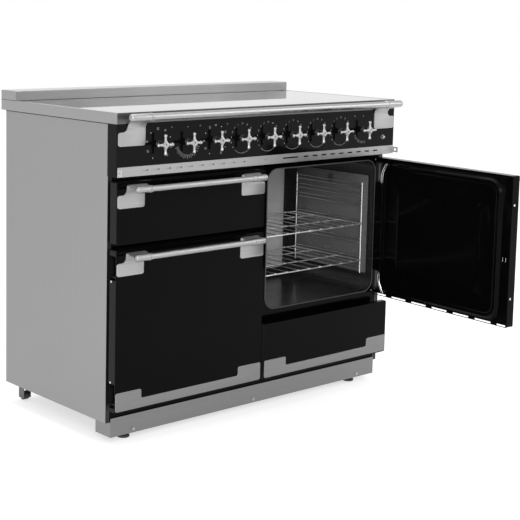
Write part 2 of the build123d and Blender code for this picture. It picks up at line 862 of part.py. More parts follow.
# ---------------------------------------------------------------- hob
with BuildPart() as hob_frame:
    slab(-hob_half, hob_half, 0.0, hob_depth, hob_bottom, hob_top)
    fillet(edges().filter_by(Axis.Z).sort_by(Axis.Y)[:2], radius=3.0)
    floor_half = case_half - hob_floor_flange
    slab(-floor_half, floor_half, hob_front_flange, case_back - hob_wall, hob_bottom - 1,
         hob_bottom + hob_wall, mode=Mode.SUBTRACT)
    slab(-hob_half + hob_wall, hob_half - hob_wall, hob_wall, hob_depth - hob_wall,
         hob_bottom + hob_wall, ledge_z - 3, mode=Mode.SUBTRACT)
    slab(-hob_half + hob_rim, hob_half - hob_rim, hob_rim, upstand_front, ledge_z, hob_top + 1,
         mode=Mode.SUBTRACT)
    ledge = hob_rim + glass_ledge
    slab(-hob_half + ledge, hob_half - ledge, ledge, upstand_front - glass_ledge,
         ledge_z - 4, ledge_z + 1, mode=Mode.SUBTRACT)
hob_frame.part.label = "hob_frame"
export_step(hob_frame.part, "parts/hob_frame.step")

with BuildPart() as hob_glass:
    edge = hob_rim + glass_clearance
    slab(-hob_half + edge, hob_half - edge, edge, upstand_front - glass_clearance,
         ledge_z, ledge_z + glass_thickness)
    chamfer(edges().group_by(Axis.Z)[-1], length=0.8)
hob_glass.part.label = "hob_glass"
export_step(hob_glass.part, "parts/hob_glass.step")

with BuildPart() as upstand:
    slab(-hob_half, hob_half, upstand_front, hob_depth, hob_top, hob_top + upstand_height)
    fillet(edges().filter_by(Axis.X).group_by(Axis.Z)[-1], radius=3.0)
    slab(-hob_half + sheet, hob_half - sheet, upstand_front + sheet, hob_depth - sheet,
         hob_top - 1, hob_top + upstand_height - sheet - 2, mode=Mode.SUBTRACT)
upstand.part.label = "upstand"
export_step(upstand.part, "parts/upstand.step")

# ---------------------------------------------------------------- control panel
with BuildPart() as control_panel:
    slab(-panel_half, panel_half, panel_front, panel_front + panel_sheet, panel_floor, hob_bottom)
    for side in (-1, 1):
        a = side * panel_half
        b = side * (panel_half - panel_sheet)
        slab(min(a, b), max(a, b), panel_front, case_front, cheek_bottom, hob_bottom)
    slab(-panel_half, panel_half, panel_front, case_front, panel_floor, panel_floor + sheet)
    slab(-panel_half, panel_half, panel_front, case_front, hob_bottom - sheet, hob_bottom)
    stud(button_x, button_z, panel_front - button_travel, panel_front + 0.5,
         button_radius + bezel_width, 16)
    for x in knob_xs:
        stud(x, knob_z, panel_front - 1, panel_front + 5,
             spindle_radius + spindle_clearance, 12, mode=Mode.SUBTRACT)
    for x in lamp_xs:
        stud(x, lamp_z, panel_front - 1, panel_front + 5,
             lamp_radius + lamp_clearance, 8, mode=Mode.SUBTRACT)
    stud(button_x, button_z, panel_front - 5, panel_front + 5,
         button_radius + button_clearance, 16, mode=Mode.SUBTRACT)
control_panel.part.label = "control_panel"
export_step(control_panel.part, "parts/control_panel.step")

with BuildPart() as indicator_lenses:
    back_face = panel_front + panel_sheet
    for x in lamp_xs:
        stud(x, lamp_z, panel_front - 1.2, back_face, lamp_radius, 8)
        stud(x, lamp_z, back_face, back_face + ferrule_depth, lamp_radius + ferrule_side, 6)
indicator_lenses.part.label = "indicator_lenses"
export_step(indicator_lenses.part, "parts/indicator_lenses.step")


for k in range(knob_count):
    with BuildPart() as knob:
        cross_knob(knob_xs[k])
    knob.part.label = "knob_%d" % (k + 1)
    export_step(knob.part, "parts/knob_%d.step" % (k + 1))

with BuildPart() as push_button:
    shoulder = panel_front - button_travel - 0.5
    stud(button_x, button_z, shoulder - 5.5, shoulder, button_radius, 16)
    chamfer(faces().sort_by(Axis.Y)[0].edges(), length=1.5)
    stud(button_x, button_z, shoulder, panel_front + 12.0, button_radius - 1.0, 8)
push_button.part.label = "push_button"
export_step(push_button.part, "parts/push_button.step")

# ---------------------------------------------------------------- handrail and vent trim
with BuildPart() as handrail:
    bar_handle(-rail_half, rail_half, rail_y, rail_z, rail_radius, rail_sleeve_radius, rail_sleeve)
handrail.part.label = "handrail"
export_step(handrail.part, "parts/handrail.step")

with BuildPart() as handrail_brackets:
    for side in (-1, 1):
        outer = side * (panel_half - rail_plate_inset)
        hook_bracket(outer, outer - side * plate_width, rail_z - rail_plate_foot,
                     rail_z - rail_plate_head, panel_front, rail_z - rail_bend_drop, rail_bend,
                     rail_y)
    axle(rail_y, rail_z, -rail_half - 1, rail_half + 1, rail_sleeve_radius,
         mode=Mode.SUBTRACT)
handrail_brackets.part.label = "handrail_brackets"
export_step(handrail_brackets.part, "parts/handrail_brackets.step")

with BuildPart() as vent_trim:
    trim_half = panel_half - panel_sheet
    ear_low = cheek_bottom + trim_ear_foot
    ear_high = panel_floor - trim_ear_head
    slab(-trim_half, trim_half, trim_front, trim_front + sheet, cheek_bottom, panel_floor)
    slab(-trim_half, trim_half, trim_front, trim_back, panel_floor - sheet, panel_floor)
    slab(-trim_half, trim_half, trim_front, trim_back, cheek_bottom, cheek_bottom + sheet)
    for side in (-1, 1):
        a = side * trim_half
        b = side * (trim_half - sheet)
        slab(min(a, b), max(a, b), trim_front - trim_ear, trim_front + sheet,
             ear_low, ear_high)
        slab(min(a, b) - 1, max(a, b) + 1, trim_front - ear_hole[0], trim_front - ear_hole[1],
             ear_low + ear_hole_rim, ear_high - ear_hole_rim, mode=Mode.SUBTRACT)
    slot_z = (cheek_bottom + panel_floor) / 2 + 1.0
    slots = [(start + pitch * k - slot_half, start + pitch * k + slot_half)
             for (start, pitch), count in zip(slot_rows, slot_counts) for k in range(count)]
    for a, b in slots + list(long_slots):
        slab(a, b, trim_front - 1, trim_front + 3, slot_z - slot_height / 2,
             slot_z + slot_height / 2, mode=Mode.SUBTRACT)
vent_trim.part.label = "vent_trim"
export_step(vent_trim.part, "parts/vent_trim.step")

# ---------------------------------------------------------------- front frame and ovens
with BuildPart() as front_frame:
    slab(-frame_half, frame_half, fascia_front, fascia_back, tray_bottom, hob_bottom)
    for mouth, corner in ((right_cavity_box, cavity_radius), (left_cavity_box, small_radius),
                          (grill_cavity_box, small_radius)):
        face_plate(*mouth, fascia_front - 1, fascia_back + 1, corner, mode=Mode.SUBTRACT)
    slab(right_edge + drawer_mouth_side, right_edge + door_width - drawer_mouth_side,
         fascia_front - 1, fascia_back + 1, drawer_bottom + drawer_mouth_sill,
         drawer_top - drawer_mouth_head, mode=Mode.SUBTRACT)
    vent_z = cheek_bottom - frame_vent_drop
    for k in range(vent_count):
        x = frame_vent_pitch * (k - (vent_count - 1) / 2)
        slab(x - vent_half, x + vent_half, fascia_front - 1, fascia_back + 1,
             vent_z, vent_z + vent_height, mode=Mode.SUBTRACT)
    slab(frame_post - frame_half, frame_half - frame_post, fascia_front - 1, fascia_back + 1,
         panel_floor + frame_sill, hob_bottom - frame_head, mode=Mode.SUBTRACT)
front_frame.part.label = "front_frame"
export_step(front_frame.part, "parts/front_frame.step")

with BuildPart() as right_cavity:
    shell_cavity(*right_cavity_box, cavity_radius, cavity_back)
right_cavity.part.label = "right_cavity"
export_step(right_cavity.part, "parts/right_cavity.step")

with BuildPart() as left_cavity:
    shell_cavity(*left_cavity_box, small_radius, cavity_back)
    for k in range(side_ledge_count):
        z = side_ledge_low + side_ledge_pitch * k
        for a, b in ((left_cavity_left - 0.5, left_cavity_left + side_ledge_width),
                     (left_cavity_right - side_ledge_width, left_cavity_right + 0.5)):
            slab(a, b, fascia_back + side_ledge_front, cavity_back - side_ledge_back,
                 z, z + side_ledge_sheet)
left_cavity.part.label = "left_cavity"
export_step(left_cavity.part, "parts/left_cavity.step")

pan_z = grill_floor + pan_lift

with BuildPart() as grill_cavity:
    shell_cavity(*grill_cavity_box, small_radius, grill_back)
    for a, b in ((left_cavity_left - 1, left_cavity_left + pan_ledge),
                 (left_cavity_right - pan_ledge, left_cavity_right + 1)):
        slab(a, b, fascia_back + pan_ledge_front, grill_back - pan_ledge_back,
             pan_z - side_ledge_sheet, pan_z)
grill_cavity.part.label = "grill_cavity"
export_step(grill_cavity.part, "parts/grill_cavity.step")

with BuildPart() as opening_gaskets:
    gasket_ring(*right_cavity_box, cavity_radius)
    gasket_ring(*left_cavity_box, small_radius)
opening_gaskets.part.label = "opening_gaskets"
export_step(opening_gaskets.part, "parts/opening_gaskets.step")

lamp_y = cavity_back - lamp_setback
lamp_glass_z = cavity_roof - liner_margin - lamp_liner_drop

with BuildPart() as side_liners:
    for wall, side in ((cavity_right, -1), (cavity_left, 1)):
        a = wall + side * liner_gap
        b = wall + side * (liner_gap + sheet)
        low = cavity_floor + liner_margin
        high = cavity_roof - liner_margin
        front = fascia_back + liner_front
        back = cavity_back - liner_back
        slab(min(a, b), max(a, b), front, back, low, high)
        for y in (front + spacer_front, back - spacer_back):
            for z in (low + spacer_low, high - spacer_high):
                slab(min(a, wall), max(a, wall), y - spacer_half, y + spacer_half,
                     z - spacer_half, z + spacer_half)
    axle(lamp_y, lamp_glass_z, cavity_right - lamp_glass_depth, cavity_right - 2,
         lamp_glass_radius + lamp_hole_play, mode=Mode.SUBTRACT)
side_liners.part.label = "side_liners"
export_step(side_liners.part, "parts/side_liners.step")

with BuildPart() as oven_lamp:
    side_stud(lamp_y, lamp_glass_z, cavity_right - lamp_glass_depth, cavity_right,
              lamp_glass_radius, 24)
    chamfer(faces().sort_by(Axis.X)[0].edges(), length=5.0)
oven_lamp.part.label = "oven_lamp"
export_step(oven_lamp.part, "parts/oven_lamp.step")

with BuildPart() as fan_cover:
    left = cavity_left + cover_margin
    right = cavity_right - cover_margin
    low = cavity_floor + cover_rim
    high = cavity_roof - cover_rim
    cover_back = cavity_back - cover_gap
    face_plate(left, right, low, high, cover_back - sheet, cover_back, cover_corner)
    for x in (left + cover_foot_side, right - cover_foot_side):
        for z in (low + cover_foot_rise, high - cover_foot_rise):
            slab(x - cover_foot_half, x + cover_foot_half, cover_back, cavity_back,
                 z - cover_foot_half, z + cover_foot_half)
    with BuildSketch(Plane.XZ.offset(-cavity_back)):
        with Locations(((left + right) / 2, (low + high) / 2)):
            with PolarLocations(fan_slot_circle, fan_slot_count):
                Rectangle(*fan_slot)
    extrude(amount=8.0, mode=Mode.SUBTRACT)
fan_cover.part.label = "fan_cover"
export_step(fan_cover.part, "parts/fan_cover.step")

with BuildPart() as ladder_supports:
    ladder(liner_right_x, -1)
    ladder(liner_left_x, 1)
ladder_supports.part.label = "ladder_supports"
export_step(ladder_supports.part, "parts/ladder_supports.step")

rest_height = wire_pair / 2 - (ladder_wire + rack_wire) / 2
rack_right_x = liner_right_x - rack_gap
rack_left_x = liner_left_x + rack_gap

with BuildPart() as upper_rack:
    wire_rack(rack_left_x, rack_right_x, shelf_base + shelf_pitch * 5 - rest_height)
upper_rack.part.label = "upper_rack"
export_step(upper_rack.part, "parts/upper_rack.step")

with BuildPart() as lower_rack:
    wire_rack(rack_left_x, rack_right_x, shelf_base + shelf_pitch - rest_height)
lower_rack.part.label = "lower_rack"
export_step(lower_rack.part, "parts/lower_rack.step")

element_left = left_cavity_left + element_side
element_right = left_cavity_right - element_side
element_pitch = (element_right - element_left) / (element_runs - 1)
element_z = grill_roof - element_drop
element_front = fascia_back + element_front_gap
element_back = grill_back - element_back_gap

with BuildPart() as grill_element:
    for k in range(element_runs):
        x = element_left + element_pitch * k
        wire((x, element_front, element_z), (x, element_back, element_z), element_wire, (1, 0, 0))
    for k in range(element_runs - 1):
        x = element_left + element_pitch * k
        y = element_front + wire_overrun if k % 2 else element_back - wire_overrun
        wire((x - wire_overrun, y, element_z), (x + element_pitch + wire_overrun, y, element_z),
             element_wire, (0, 1, 0))
    for x in (element_left, element_right):
        for y in (element_front + element_hanger_inset, element_back - element_hanger_inset):
            slab(x - 2, x + 2, y - 5, y + 5, element_z - 2, grill_roof)
grill_element.part.label = "grill_element"
export_step(grill_element.part, "parts/grill_element.step")

with BuildPart() as grill_pan:
    slab(left_cavity_left + pan_margin, left_cavity_right - pan_margin, fascia_back + pan_front,
         grill_back - pan_back, pan_z, pan_z + pan_depth)
    fillet(edges().filter_by(Axis.Z), radius=pan_corner)
    offset(amount=-sheet, openings=faces().sort_by(Axis.Z)[-1])
grill_pan.part.label = "grill_pan"
export_step(grill_pan.part, "parts/grill_pan.step")


# ---------------------------------------------------------------- doors
def door_handle(x0, z_top):
    """Bar handle of one door."""
    bar_handle(x0 + handle_inset, x0 + door_width - handle_inset, handle_y, z_top - handle_drop,
               handle_radius, handle_sleeve_radius, handle_sleeve)


def door_brackets(x0, z_top):
    """Two hooked plates that carry a door handle."""
    z = z_top - handle_drop
    near = x0 + plate_margin
    far = x0 + door_width - plate_margin
    for outer, inner in ((near, near + plate_width), (far, far - plate_width)):
        hook_bracket(outer, inner, z - plate_foot_drop, z - plate_head_drop, 0.0, z - bend_drop,
                     bend_radius, handle_y)
    axle(handle_y, z, x0, x0 + door_width, handle_sleeve_radius,
         mode=Mode.SUBTRACT)


def edge_screws(x, side, z0, z1):
    """Two small screw heads on the free edge of a door."""
    for z in (z0 + edge_screw_inset, z1 - edge_screw_inset):
        side_stud(door_depth - edge_screw_setback, z, x, x + side * screw_rise,
                  edge_screw_radius, 6)


def grill_lug(x, side):
    """Pocket and lug of one grill door hinge."""
    a = x - side * 3.0
    b = x + side * 7.0
    slab(min(a, b), max(a, b), skin, door_depth + 8, grill_bottom - 1, grill_pin_z + 18.0,
         mode=Mode.SUBTRACT)


with BuildPart() as hinge_brackets:
    for pin_x, z0, z1 in oven_hinges:
        outward = 1 if pin_x > 0 else -1
        for z in hinge_centres(z0, z1):
            half = hinge_band / 2
            base_a = pin_x - outward * hinge_plate_inner
            base_b = pin_x + outward * hinge_plate_outer
            slab(min(base_a, base_b), max(base_a, base_b), fascia_front - hinge_plate,
                 fascia_front, z - half, z + half)
            ear_b = pin_x + outward * knuckle
            for low in (z - half, z + half - ear):
                slab(min(base_a, ear_b), max(base_a, ear_b), hinge_y - knuckle, fascia_front,
                     low, low + ear)
            post(pin_x, hinge_y, z - half, z + half, hinge_pin_radius)
    for side in (-1, 1):
        x = left_edge + door_width / 2 + side * grill_hinge_reach
        slab(x - grill_lug_half, x + grill_lug_half, hinge_y - knuckle, fascia_front,
             grill_pin_z - knuckle, grill_pin_z + knuckle)
        slab(x - knuckle, x + knuckle, fascia_front - hinge_plate, fascia_front,
             grill_pin_z - 10, grill_pin_z + knuckle)
        axle(hinge_y, grill_pin_z, min(x, x - side * 16), max(x, x - side * 16),
             hinge_pin_radius)
hinge_brackets.part.label = "hinge_brackets"
export_step(hinge_brackets.part, "parts/hinge_brackets.step")

with BuildPart() as left_door_skin:
    door_pan(left_edge, oven_left_bottom, oven_left_top, True)
    edge_screws(left_edge, -1, oven_left_bottom, oven_left_top)
    for z in hinge_centres(oven_left_bottom, oven_left_top):
        hinge_pocket(left_pin_x, z, -1)
left_door_skin.part.label = "left_door_skin"
export_step(left_door_skin.part, "parts/left_door_skin.step")

with BuildPart() as left_door_liner:
    oven_door_liner(left_edge, oven_left_bottom, oven_left_top, True)
    for z in hinge_centres(oven_left_bottom, oven_left_top):
        hinge_pocket(left_pin_x, z, -1)
left_door_liner.part.label = "left_door_liner"
export_step(left_door_liner.part, "parts/left_door_liner.step")

with BuildPart() as left_door_hinges:
    for z in hinge_centres(oven_left_bottom, oven_left_top):
        hinge_leaf(left_pin_x, z, -1)
left_door_hinges.part.label = "left_door_hinges"
export_step(left_door_hinges.part, "parts/left_door_hinges.step")

with BuildPart() as left_door_handle:
    door_handle(left_edge, oven_left_top)
left_door_handle.part.label = "left_door_handle"
export_step(left_door_handle.part, "parts/left_door_handle.step")

with BuildPart() as left_door_brackets:
    door_brackets(left_edge, oven_left_top)
left_door_brackets.part.label = "left_door_brackets"
export_step(left_door_brackets.part, "parts/left_door_brackets.step")

with BuildPart() as left_door_trim:
    bottom_plate(left_edge, oven_left_bottom)
left_door_trim.part.label = "left_door_trim"
export_step(left_door_trim.part, "parts/left_door_trim.step")

with BuildPart() as right_skin_closed:
    door_pan(right_edge, oven_right_bottom, oven_right_top, True)
    edge_screws(right_edge, -1, oven_right_bottom, oven_right_top)
    for z in hinge_centres(oven_right_bottom, oven_right_top):
        hinge_pocket(right_pin_x, z, 1)

with BuildPart() as right_liner_closed:
    oven_door_liner(right_edge, oven_right_bottom, oven_right_top, False)
    for z in hinge_centres(oven_right_bottom, oven_right_top):
        hinge_pocket(right_pin_x, z, 1)

with BuildPart() as right_hinges_closed:
    for z in hinge_centres(oven_right_bottom, oven_right_top):
        hinge_leaf(right_pin_x, z, 1)

with BuildPart() as right_handle_closed:
    door_handle(right_edge, oven_right_top)

with BuildPart() as right_brackets_closed:
    door_brackets(right_edge, oven_right_top)

with BuildPart() as right_door_skin:
    add(right_skin_closed.part.rotate(right_pin, rest_opening))
right_door_skin.part.label = "right_door_skin"
export_step(right_door_skin.part, "parts/right_door_skin.step")

with BuildPart() as right_door_liner:
    add(right_liner_closed.part.rotate(right_pin, rest_opening))
right_door_liner.part.label = "right_door_liner"
export_step(right_door_liner.part, "parts/right_door_liner.step")

with BuildPart() as right_door_hinges:
    add(right_hinges_closed.part.rotate(right_pin, rest_opening))
right_door_hinges.part.label = "right_door_hinges"
export_step(right_door_hinges.part, "parts/right_door_hinges.step")

with BuildPart() as right_door_handle:
    add(right_handle_closed.part.rotate(right_pin, rest_opening))
right_door_handle.part.label = "right_door_handle"
export_step(right_door_handle.part, "parts/right_door_handle.step")

with BuildPart() as right_door_brackets:
    add(right_brackets_closed.part.rotate(right_pin, rest_opening))
right_door_brackets.part.label = "right_door_brackets"
export_step(right_door_brackets.part, "parts/right_door_brackets.step")

grill_hinge_xs = (
    (left_edge + door_width / 2 - grill_hinge_reach, -1),
    (left_edge + door_width / 2 + grill_hinge_reach, 1),
)

with BuildPart() as grill_door_skin:
    door_pan(left_edge, grill_bottom, grill_top, False)
    for x, side in grill_hinge_xs:
        grill_lug(x, side)
        lug = x - side * grill_lug_inset
        slab(lug - grill_lug_half, lug + grill_lug_half, 1.0, hinge_y + knuckle + 1,
             grill_bottom, grill_pin_z + knuckle + 1)
        axle(hinge_y, grill_pin_z, lug - 3, lug + 3, hinge_pin_radius + hinge_clearance,
             mode=Mode.SUBTRACT)
grill_door_skin.part.label = "grill_door_skin"
export_step(grill_door_skin.part, "parts/grill_door_skin.step")

with BuildPart() as grill_door_liner:
    slab(left_edge + skin, left_edge + door_width - skin, door_depth - skin, door_depth,
         grill_bottom + skin, grill_top - skin)
    for x, side in grill_hinge_xs:
        grill_lug(x, side)
    face_plate(left_edge + grill_field_side, left_edge + door_width - grill_field_side,
               grill_bottom + grill_field_foot, grill_top - grill_field_head,
               door_depth - 0.5, door_depth + 5, 20.0)
grill_door_liner.part.label = "grill_door_liner"
export_step(grill_door_liner.part, "parts/grill_door_liner.step")

with BuildPart() as grill_door_handle:
    door_handle(left_edge, grill_top)
grill_door_handle.part.label = "grill_door_handle"
export_step(grill_door_handle.part, "parts/grill_door_handle.step")

with BuildPart() as grill_door_brackets:
    door_brackets(left_edge, grill_top)
grill_door_brackets.part.label = "grill_door_brackets"
export_step(grill_door_brackets.part, "parts/grill_door_brackets.step")

# ---------------------------------------------------------------- storage drawer
with BuildPart() as drawer_front:
    cut_corner_plate(right_edge, right_edge + door_width, drawer_bottom, drawer_top, 0,
                     drawer_front_depth, door_corner)
drawer_front.part.label = "drawer_front"
export_step(drawer_front.part, "parts/drawer_front.step")

with BuildPart() as drawer_box:
    slab(drawer_box_left, drawer_box_right, drawer_front_depth, drawer_box_back,
         drawer_box_bottom, drawer_box_top)
    offset(amount=-sheet, openings=faces().sort_by(Axis.Z)[-1])
    for a, b in ((drawer_box_left - runner_width, drawer_box_left + 0.5),
                 (drawer_box_right - 0.5, drawer_box_right + runner_width)):
        slab(a, b, fascia_back + runner_front, drawer_box_back, rail_low, rail_high)
drawer_box.part.label = "drawer_box"
export_step(drawer_box.part, "parts/drawer_box.step")

with BuildPart() as drawer_trim:
    bottom_plate(right_edge, drawer_bottom)
drawer_trim.part.label = "drawer_trim"
export_step(drawer_trim.part, "parts/drawer_trim.step")
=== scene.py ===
"""Finish of the range cooker: materials, detailed pieces, floor, light and camera.

Metres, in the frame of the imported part: X to the right, -Y to the front, Z up. Pieces are
made in millimetres, and Piece.finish scales them.
"""

import json
import math

import bmesh
import bpy
from mathutils import Matrix, Vector


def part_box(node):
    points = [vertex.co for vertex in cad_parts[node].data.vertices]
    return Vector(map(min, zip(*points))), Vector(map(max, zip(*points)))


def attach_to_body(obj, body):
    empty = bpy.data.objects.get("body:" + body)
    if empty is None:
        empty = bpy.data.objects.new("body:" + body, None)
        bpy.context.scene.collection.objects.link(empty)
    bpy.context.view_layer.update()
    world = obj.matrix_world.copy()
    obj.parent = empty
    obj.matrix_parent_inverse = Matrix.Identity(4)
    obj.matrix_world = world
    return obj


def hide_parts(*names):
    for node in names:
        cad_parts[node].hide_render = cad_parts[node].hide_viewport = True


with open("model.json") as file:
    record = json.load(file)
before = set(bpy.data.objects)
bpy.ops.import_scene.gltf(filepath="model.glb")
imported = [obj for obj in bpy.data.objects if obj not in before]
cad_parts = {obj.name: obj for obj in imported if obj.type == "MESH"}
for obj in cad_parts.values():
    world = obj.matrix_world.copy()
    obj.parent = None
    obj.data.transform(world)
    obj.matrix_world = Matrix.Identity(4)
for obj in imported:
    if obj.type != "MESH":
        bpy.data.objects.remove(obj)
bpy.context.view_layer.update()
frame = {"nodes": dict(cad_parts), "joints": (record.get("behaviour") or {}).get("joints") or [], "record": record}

MM = 0.001
BODIES = frame["record"]["behaviour"]["bodies"]
BODY_OF = {node: body for body, nodes in BODIES.items() for node in nodes}
SLOT_OF = {row["node"]: row["material_slot"] for row in frame["record"]["subparts"]}
JOINT_PLACE = {row["name"]: row["pos_m"] for row in frame["joints"] if "pos_m" in row}
scene = bpy.context.scene


# ---------------------------------------------------------------- material tools
class Shader:
    """A principled material under construction."""

    def __init__(self, name, **values):
        self.material = bpy.data.materials.new(name)
        self.material.use_nodes = True
        self.tree = self.material.node_tree
        self.nodes = self.tree.nodes
        self.surface = self.nodes["Principled BSDF"]
        for socket, value in values.items():
            self.surface.inputs[socket.replace("_", " ")].default_value = value
        self.place = self.nodes.new("ShaderNodeTexCoord").outputs["Object"]

    def link(self, source, target):
        self.tree.links.new(source, target)

    def stretched(self, scale):
        """Object coordinates, scaled by axis."""
        mapping = self.nodes.new("ShaderNodeMapping")
        mapping.inputs["Scale"].default_value = scale
        self.link(self.place, mapping.inputs["Vector"])
        return mapping.outputs["Vector"]

    def noise(self, scale, detail, vector=None):
        texture = self.nodes.new("ShaderNodeTexNoise")
        texture.inputs["Scale"].default_value = scale
        texture.inputs["Detail"].default_value = detail
        self.link(self.place if vector is None else vector, texture.inputs["Vector"])
        return texture.outputs["Fac"]

    def ramp(self, factor, *stops):
        """Ramp between two stops; each is (position, grey or colour)."""
        node = self.nodes.new("ShaderNodeValToRGB")
        for element, (position, tone) in zip(node.color_ramp.elements, stops):
            rgb = tone if isinstance(tone, tuple) else (tone, tone, tone)
            element.position = position
            element.color = (*rgb, 1.0)
        self.link(factor, node.inputs["Fac"])
        return node.outputs["Color"]

    def bump(self, height, strength, distance):
        node = self.nodes.new("ShaderNodeBump")
        node.inputs["Strength"].default_value = strength
        node.inputs["Distance"].default_value = distance
        self.link(height, node.inputs["Height"])
        return node.outputs["Normal"]

    def facing(self, axis, *stops):
        """Painted light and shade: a ramp over how squarely a face looks along one of the object's axes."""
        split = self.nodes.new("ShaderNodeSeparateXYZ")
        self.link(self.place.node.outputs["Normal"], split.inputs[0])
        square = self.nodes.new("ShaderNodeMath")
        square.operation = "ABSOLUTE"
        self.link(split.outputs[axis], square.inputs[0])
        return self.ramp(square.outputs[0], *stops)

    def product(self, first, second):
        node = self.nodes.new("ShaderNodeVectorMath")
        node.operation = "MULTIPLY"
        self.link(first, node.inputs[0])
        self.link(second, node.inputs[1])
        return node.outputs["Vector"]

    def colour(self, output):
        self.link(output, self.surface.inputs["Base Color"])

    def roughness(self, output):
        self.link(output, self.surface.inputs["Roughness"])

    def normal(self, output):
        self.link(output, self.surface.inputs["Normal"])


def brushed(name, tone, rough, grain, strength=0.12, front=1.0, level=1.0, side=1.0):
    """Brushed stainless sheet; grain is the scale of the brushing along each axis.

    Front, level and side are painted light and shade: the shares of the tone on faces that look forward, up and
    sideways.
    """
    shader = Shader(name, Metallic=1.0)
    lines = shader.noise(1.0, 4.0, shader.stretched(grain))
    cloud = shader.noise(5.0, 2.0)
    sheet = shader.ramp(lines, (0.3, tone * 0.93), (0.7, tone * 1.05))
    sheet = shader.product(sheet, shader.facing("Y", (0.5, 1.0), (0.9, front)))
    sheet = shader.product(sheet, shader.facing("X", (0.5, 1.0), (0.9, side)))
    shader.colour(shader.product(sheet, shader.facing("Z", (0.4, 1.0), (0.85, level))))
    shader.roughness(shader.ramp(cloud, (0.3, rough - 0.03), (0.7, rough + 0.05)))
    shader.normal(shader.bump(lines, strength, 0.0002))
    return shader.material


def enamel(name, tone, rough, peel, specular, edge=1.0):
    """Gloss enamel with a faint orange peel.

    Tone is that of faces that look along X; those that look another way are edge times darker, so the sideways
    faces carry a painted highlight.
    """
    shader = Shader(name, Specular_IOR_Level=specular)
    skin = shader.noise(peel, 2.0)
    cloud = shader.noise(9.0, 3.0)
    coat = shader.ramp(cloud, (0.3, tone * 0.85), (0.7, tone * 1.15))
    side = shader.facing("X", (0.5, 1.0 / edge), (0.95, 1.0))
    shader.colour(shader.product(coat, side))
    shader.roughness(shader.ramp(cloud, (0.3, rough * 0.85), (0.7, rough * 1.2)))
    shader.normal(shader.bump(skin, 0.05, 0.0002))
    return shader.material


def painted_sheet(name, tone):
    """Satin grey sheet of the case sides, with painted shade that makes it nearly black where it looks to the
    front or back.
    """
    shader = Shader(name, Metallic=0.1, Specular_IOR_Level=0.4)
    lines = shader.noise(1.0, 3.0, shader.stretched((60.0, 900.0, 6.0)))
    cloud = shader.noise(2.5, 3.0)
    sheet = shader.ramp(lines, (0.3, tone * 0.97), (0.7, tone * 1.03))
    # Painted shade: faces that look to the front or back keep 0.03 of the tone.
    shader.colour(shader.product(sheet, shader.facing("Y", (0.8, 1.0), (0.95, 0.03))))
    shader.roughness(shader.ramp(cloud, (0.3, 0.36), (0.7, 0.44)))
    shader.normal(shader.bump(lines, 0.05, 0.0001))
    return shader.material


def speckled(name, tone, fleck, rough):
    """Vitreous enamel with fine pale flecks and a wavy fired surface."""
    shader = Shader(name, Specular_IOR_Level=0.5)
    flecks = shader.noise(700.0, 1.0)
    cloud = shader.noise(14.0, 3.0)
    wave = shader.noise(60.0, 2.0)
    shader.colour(shader.ramp(flecks, (0.55, tone), (0.72, fleck)))
    shader.roughness(shader.ramp(cloud, (0.3, rough * 0.8), (0.7, rough * 1.3)))
    shader.normal(shader.bump(wave, 0.15, 0.0006))
    return shader.material


def plain_metal(name, tone, rough, metallic=1.0):
    """Plated or cast metal with slight unevenness."""
    shader = Shader(name, Metallic=metallic)
    cloud = shader.noise(40.0, 3.0)
    shader.colour(shader.ramp(cloud, (0.3, tone * 0.95), (0.7, tone * 1.04)))
    shader.roughness(shader.ramp(cloud, (0.3, rough * 0.8), (0.7, rough * 1.3)))
    return shader.material


def matt(name, colour, rough, scale):
    """Rubber or moulded plastic with a fine grain."""
    shader = Shader(name)
    grain = shader.noise(scale, 3.0)
    low = tuple(c * 0.85 for c in colour)
    high = tuple(min(1.0, c * 1.15) for c in colour)
    shader.colour(shader.ramp(grain, (0.3, low), (0.7, high)))
    shader.roughness(shader.ramp(grain, (0.3, rough - 0.05), (0.7, rough + 0.05)))
    shader.normal(shader.bump(grain, 0.2, 0.0003))
    return shader.material


def ceramic_glass(name):
    """Polished black ceramic hob glass."""
    shader = Shader(name, Specular_IOR_Level=0.5, Coat_Weight=0.6, Coat_Roughness=0.01)
    cloud = shader.noise(6.0, 2.0)
    shader.colour(shader.ramp(cloud, (0.3, 0.006), (0.7, 0.009)))
    shader.roughness(shader.ramp(cloud, (0.3, 0.03), (0.7, 0.05)))
    return shader.material


def lens(name, colour):
    """Tinted lens."""
    shader = Shader(name, Transmission_Weight=0.3, Roughness=0.12)
    depth = shader.noise(300.0, 2.0)
    low = tuple(c * 0.6 for c in colour)
    shader.colour(shader.ramp(depth, (0.3, low), (0.7, colour)))
    return shader.material


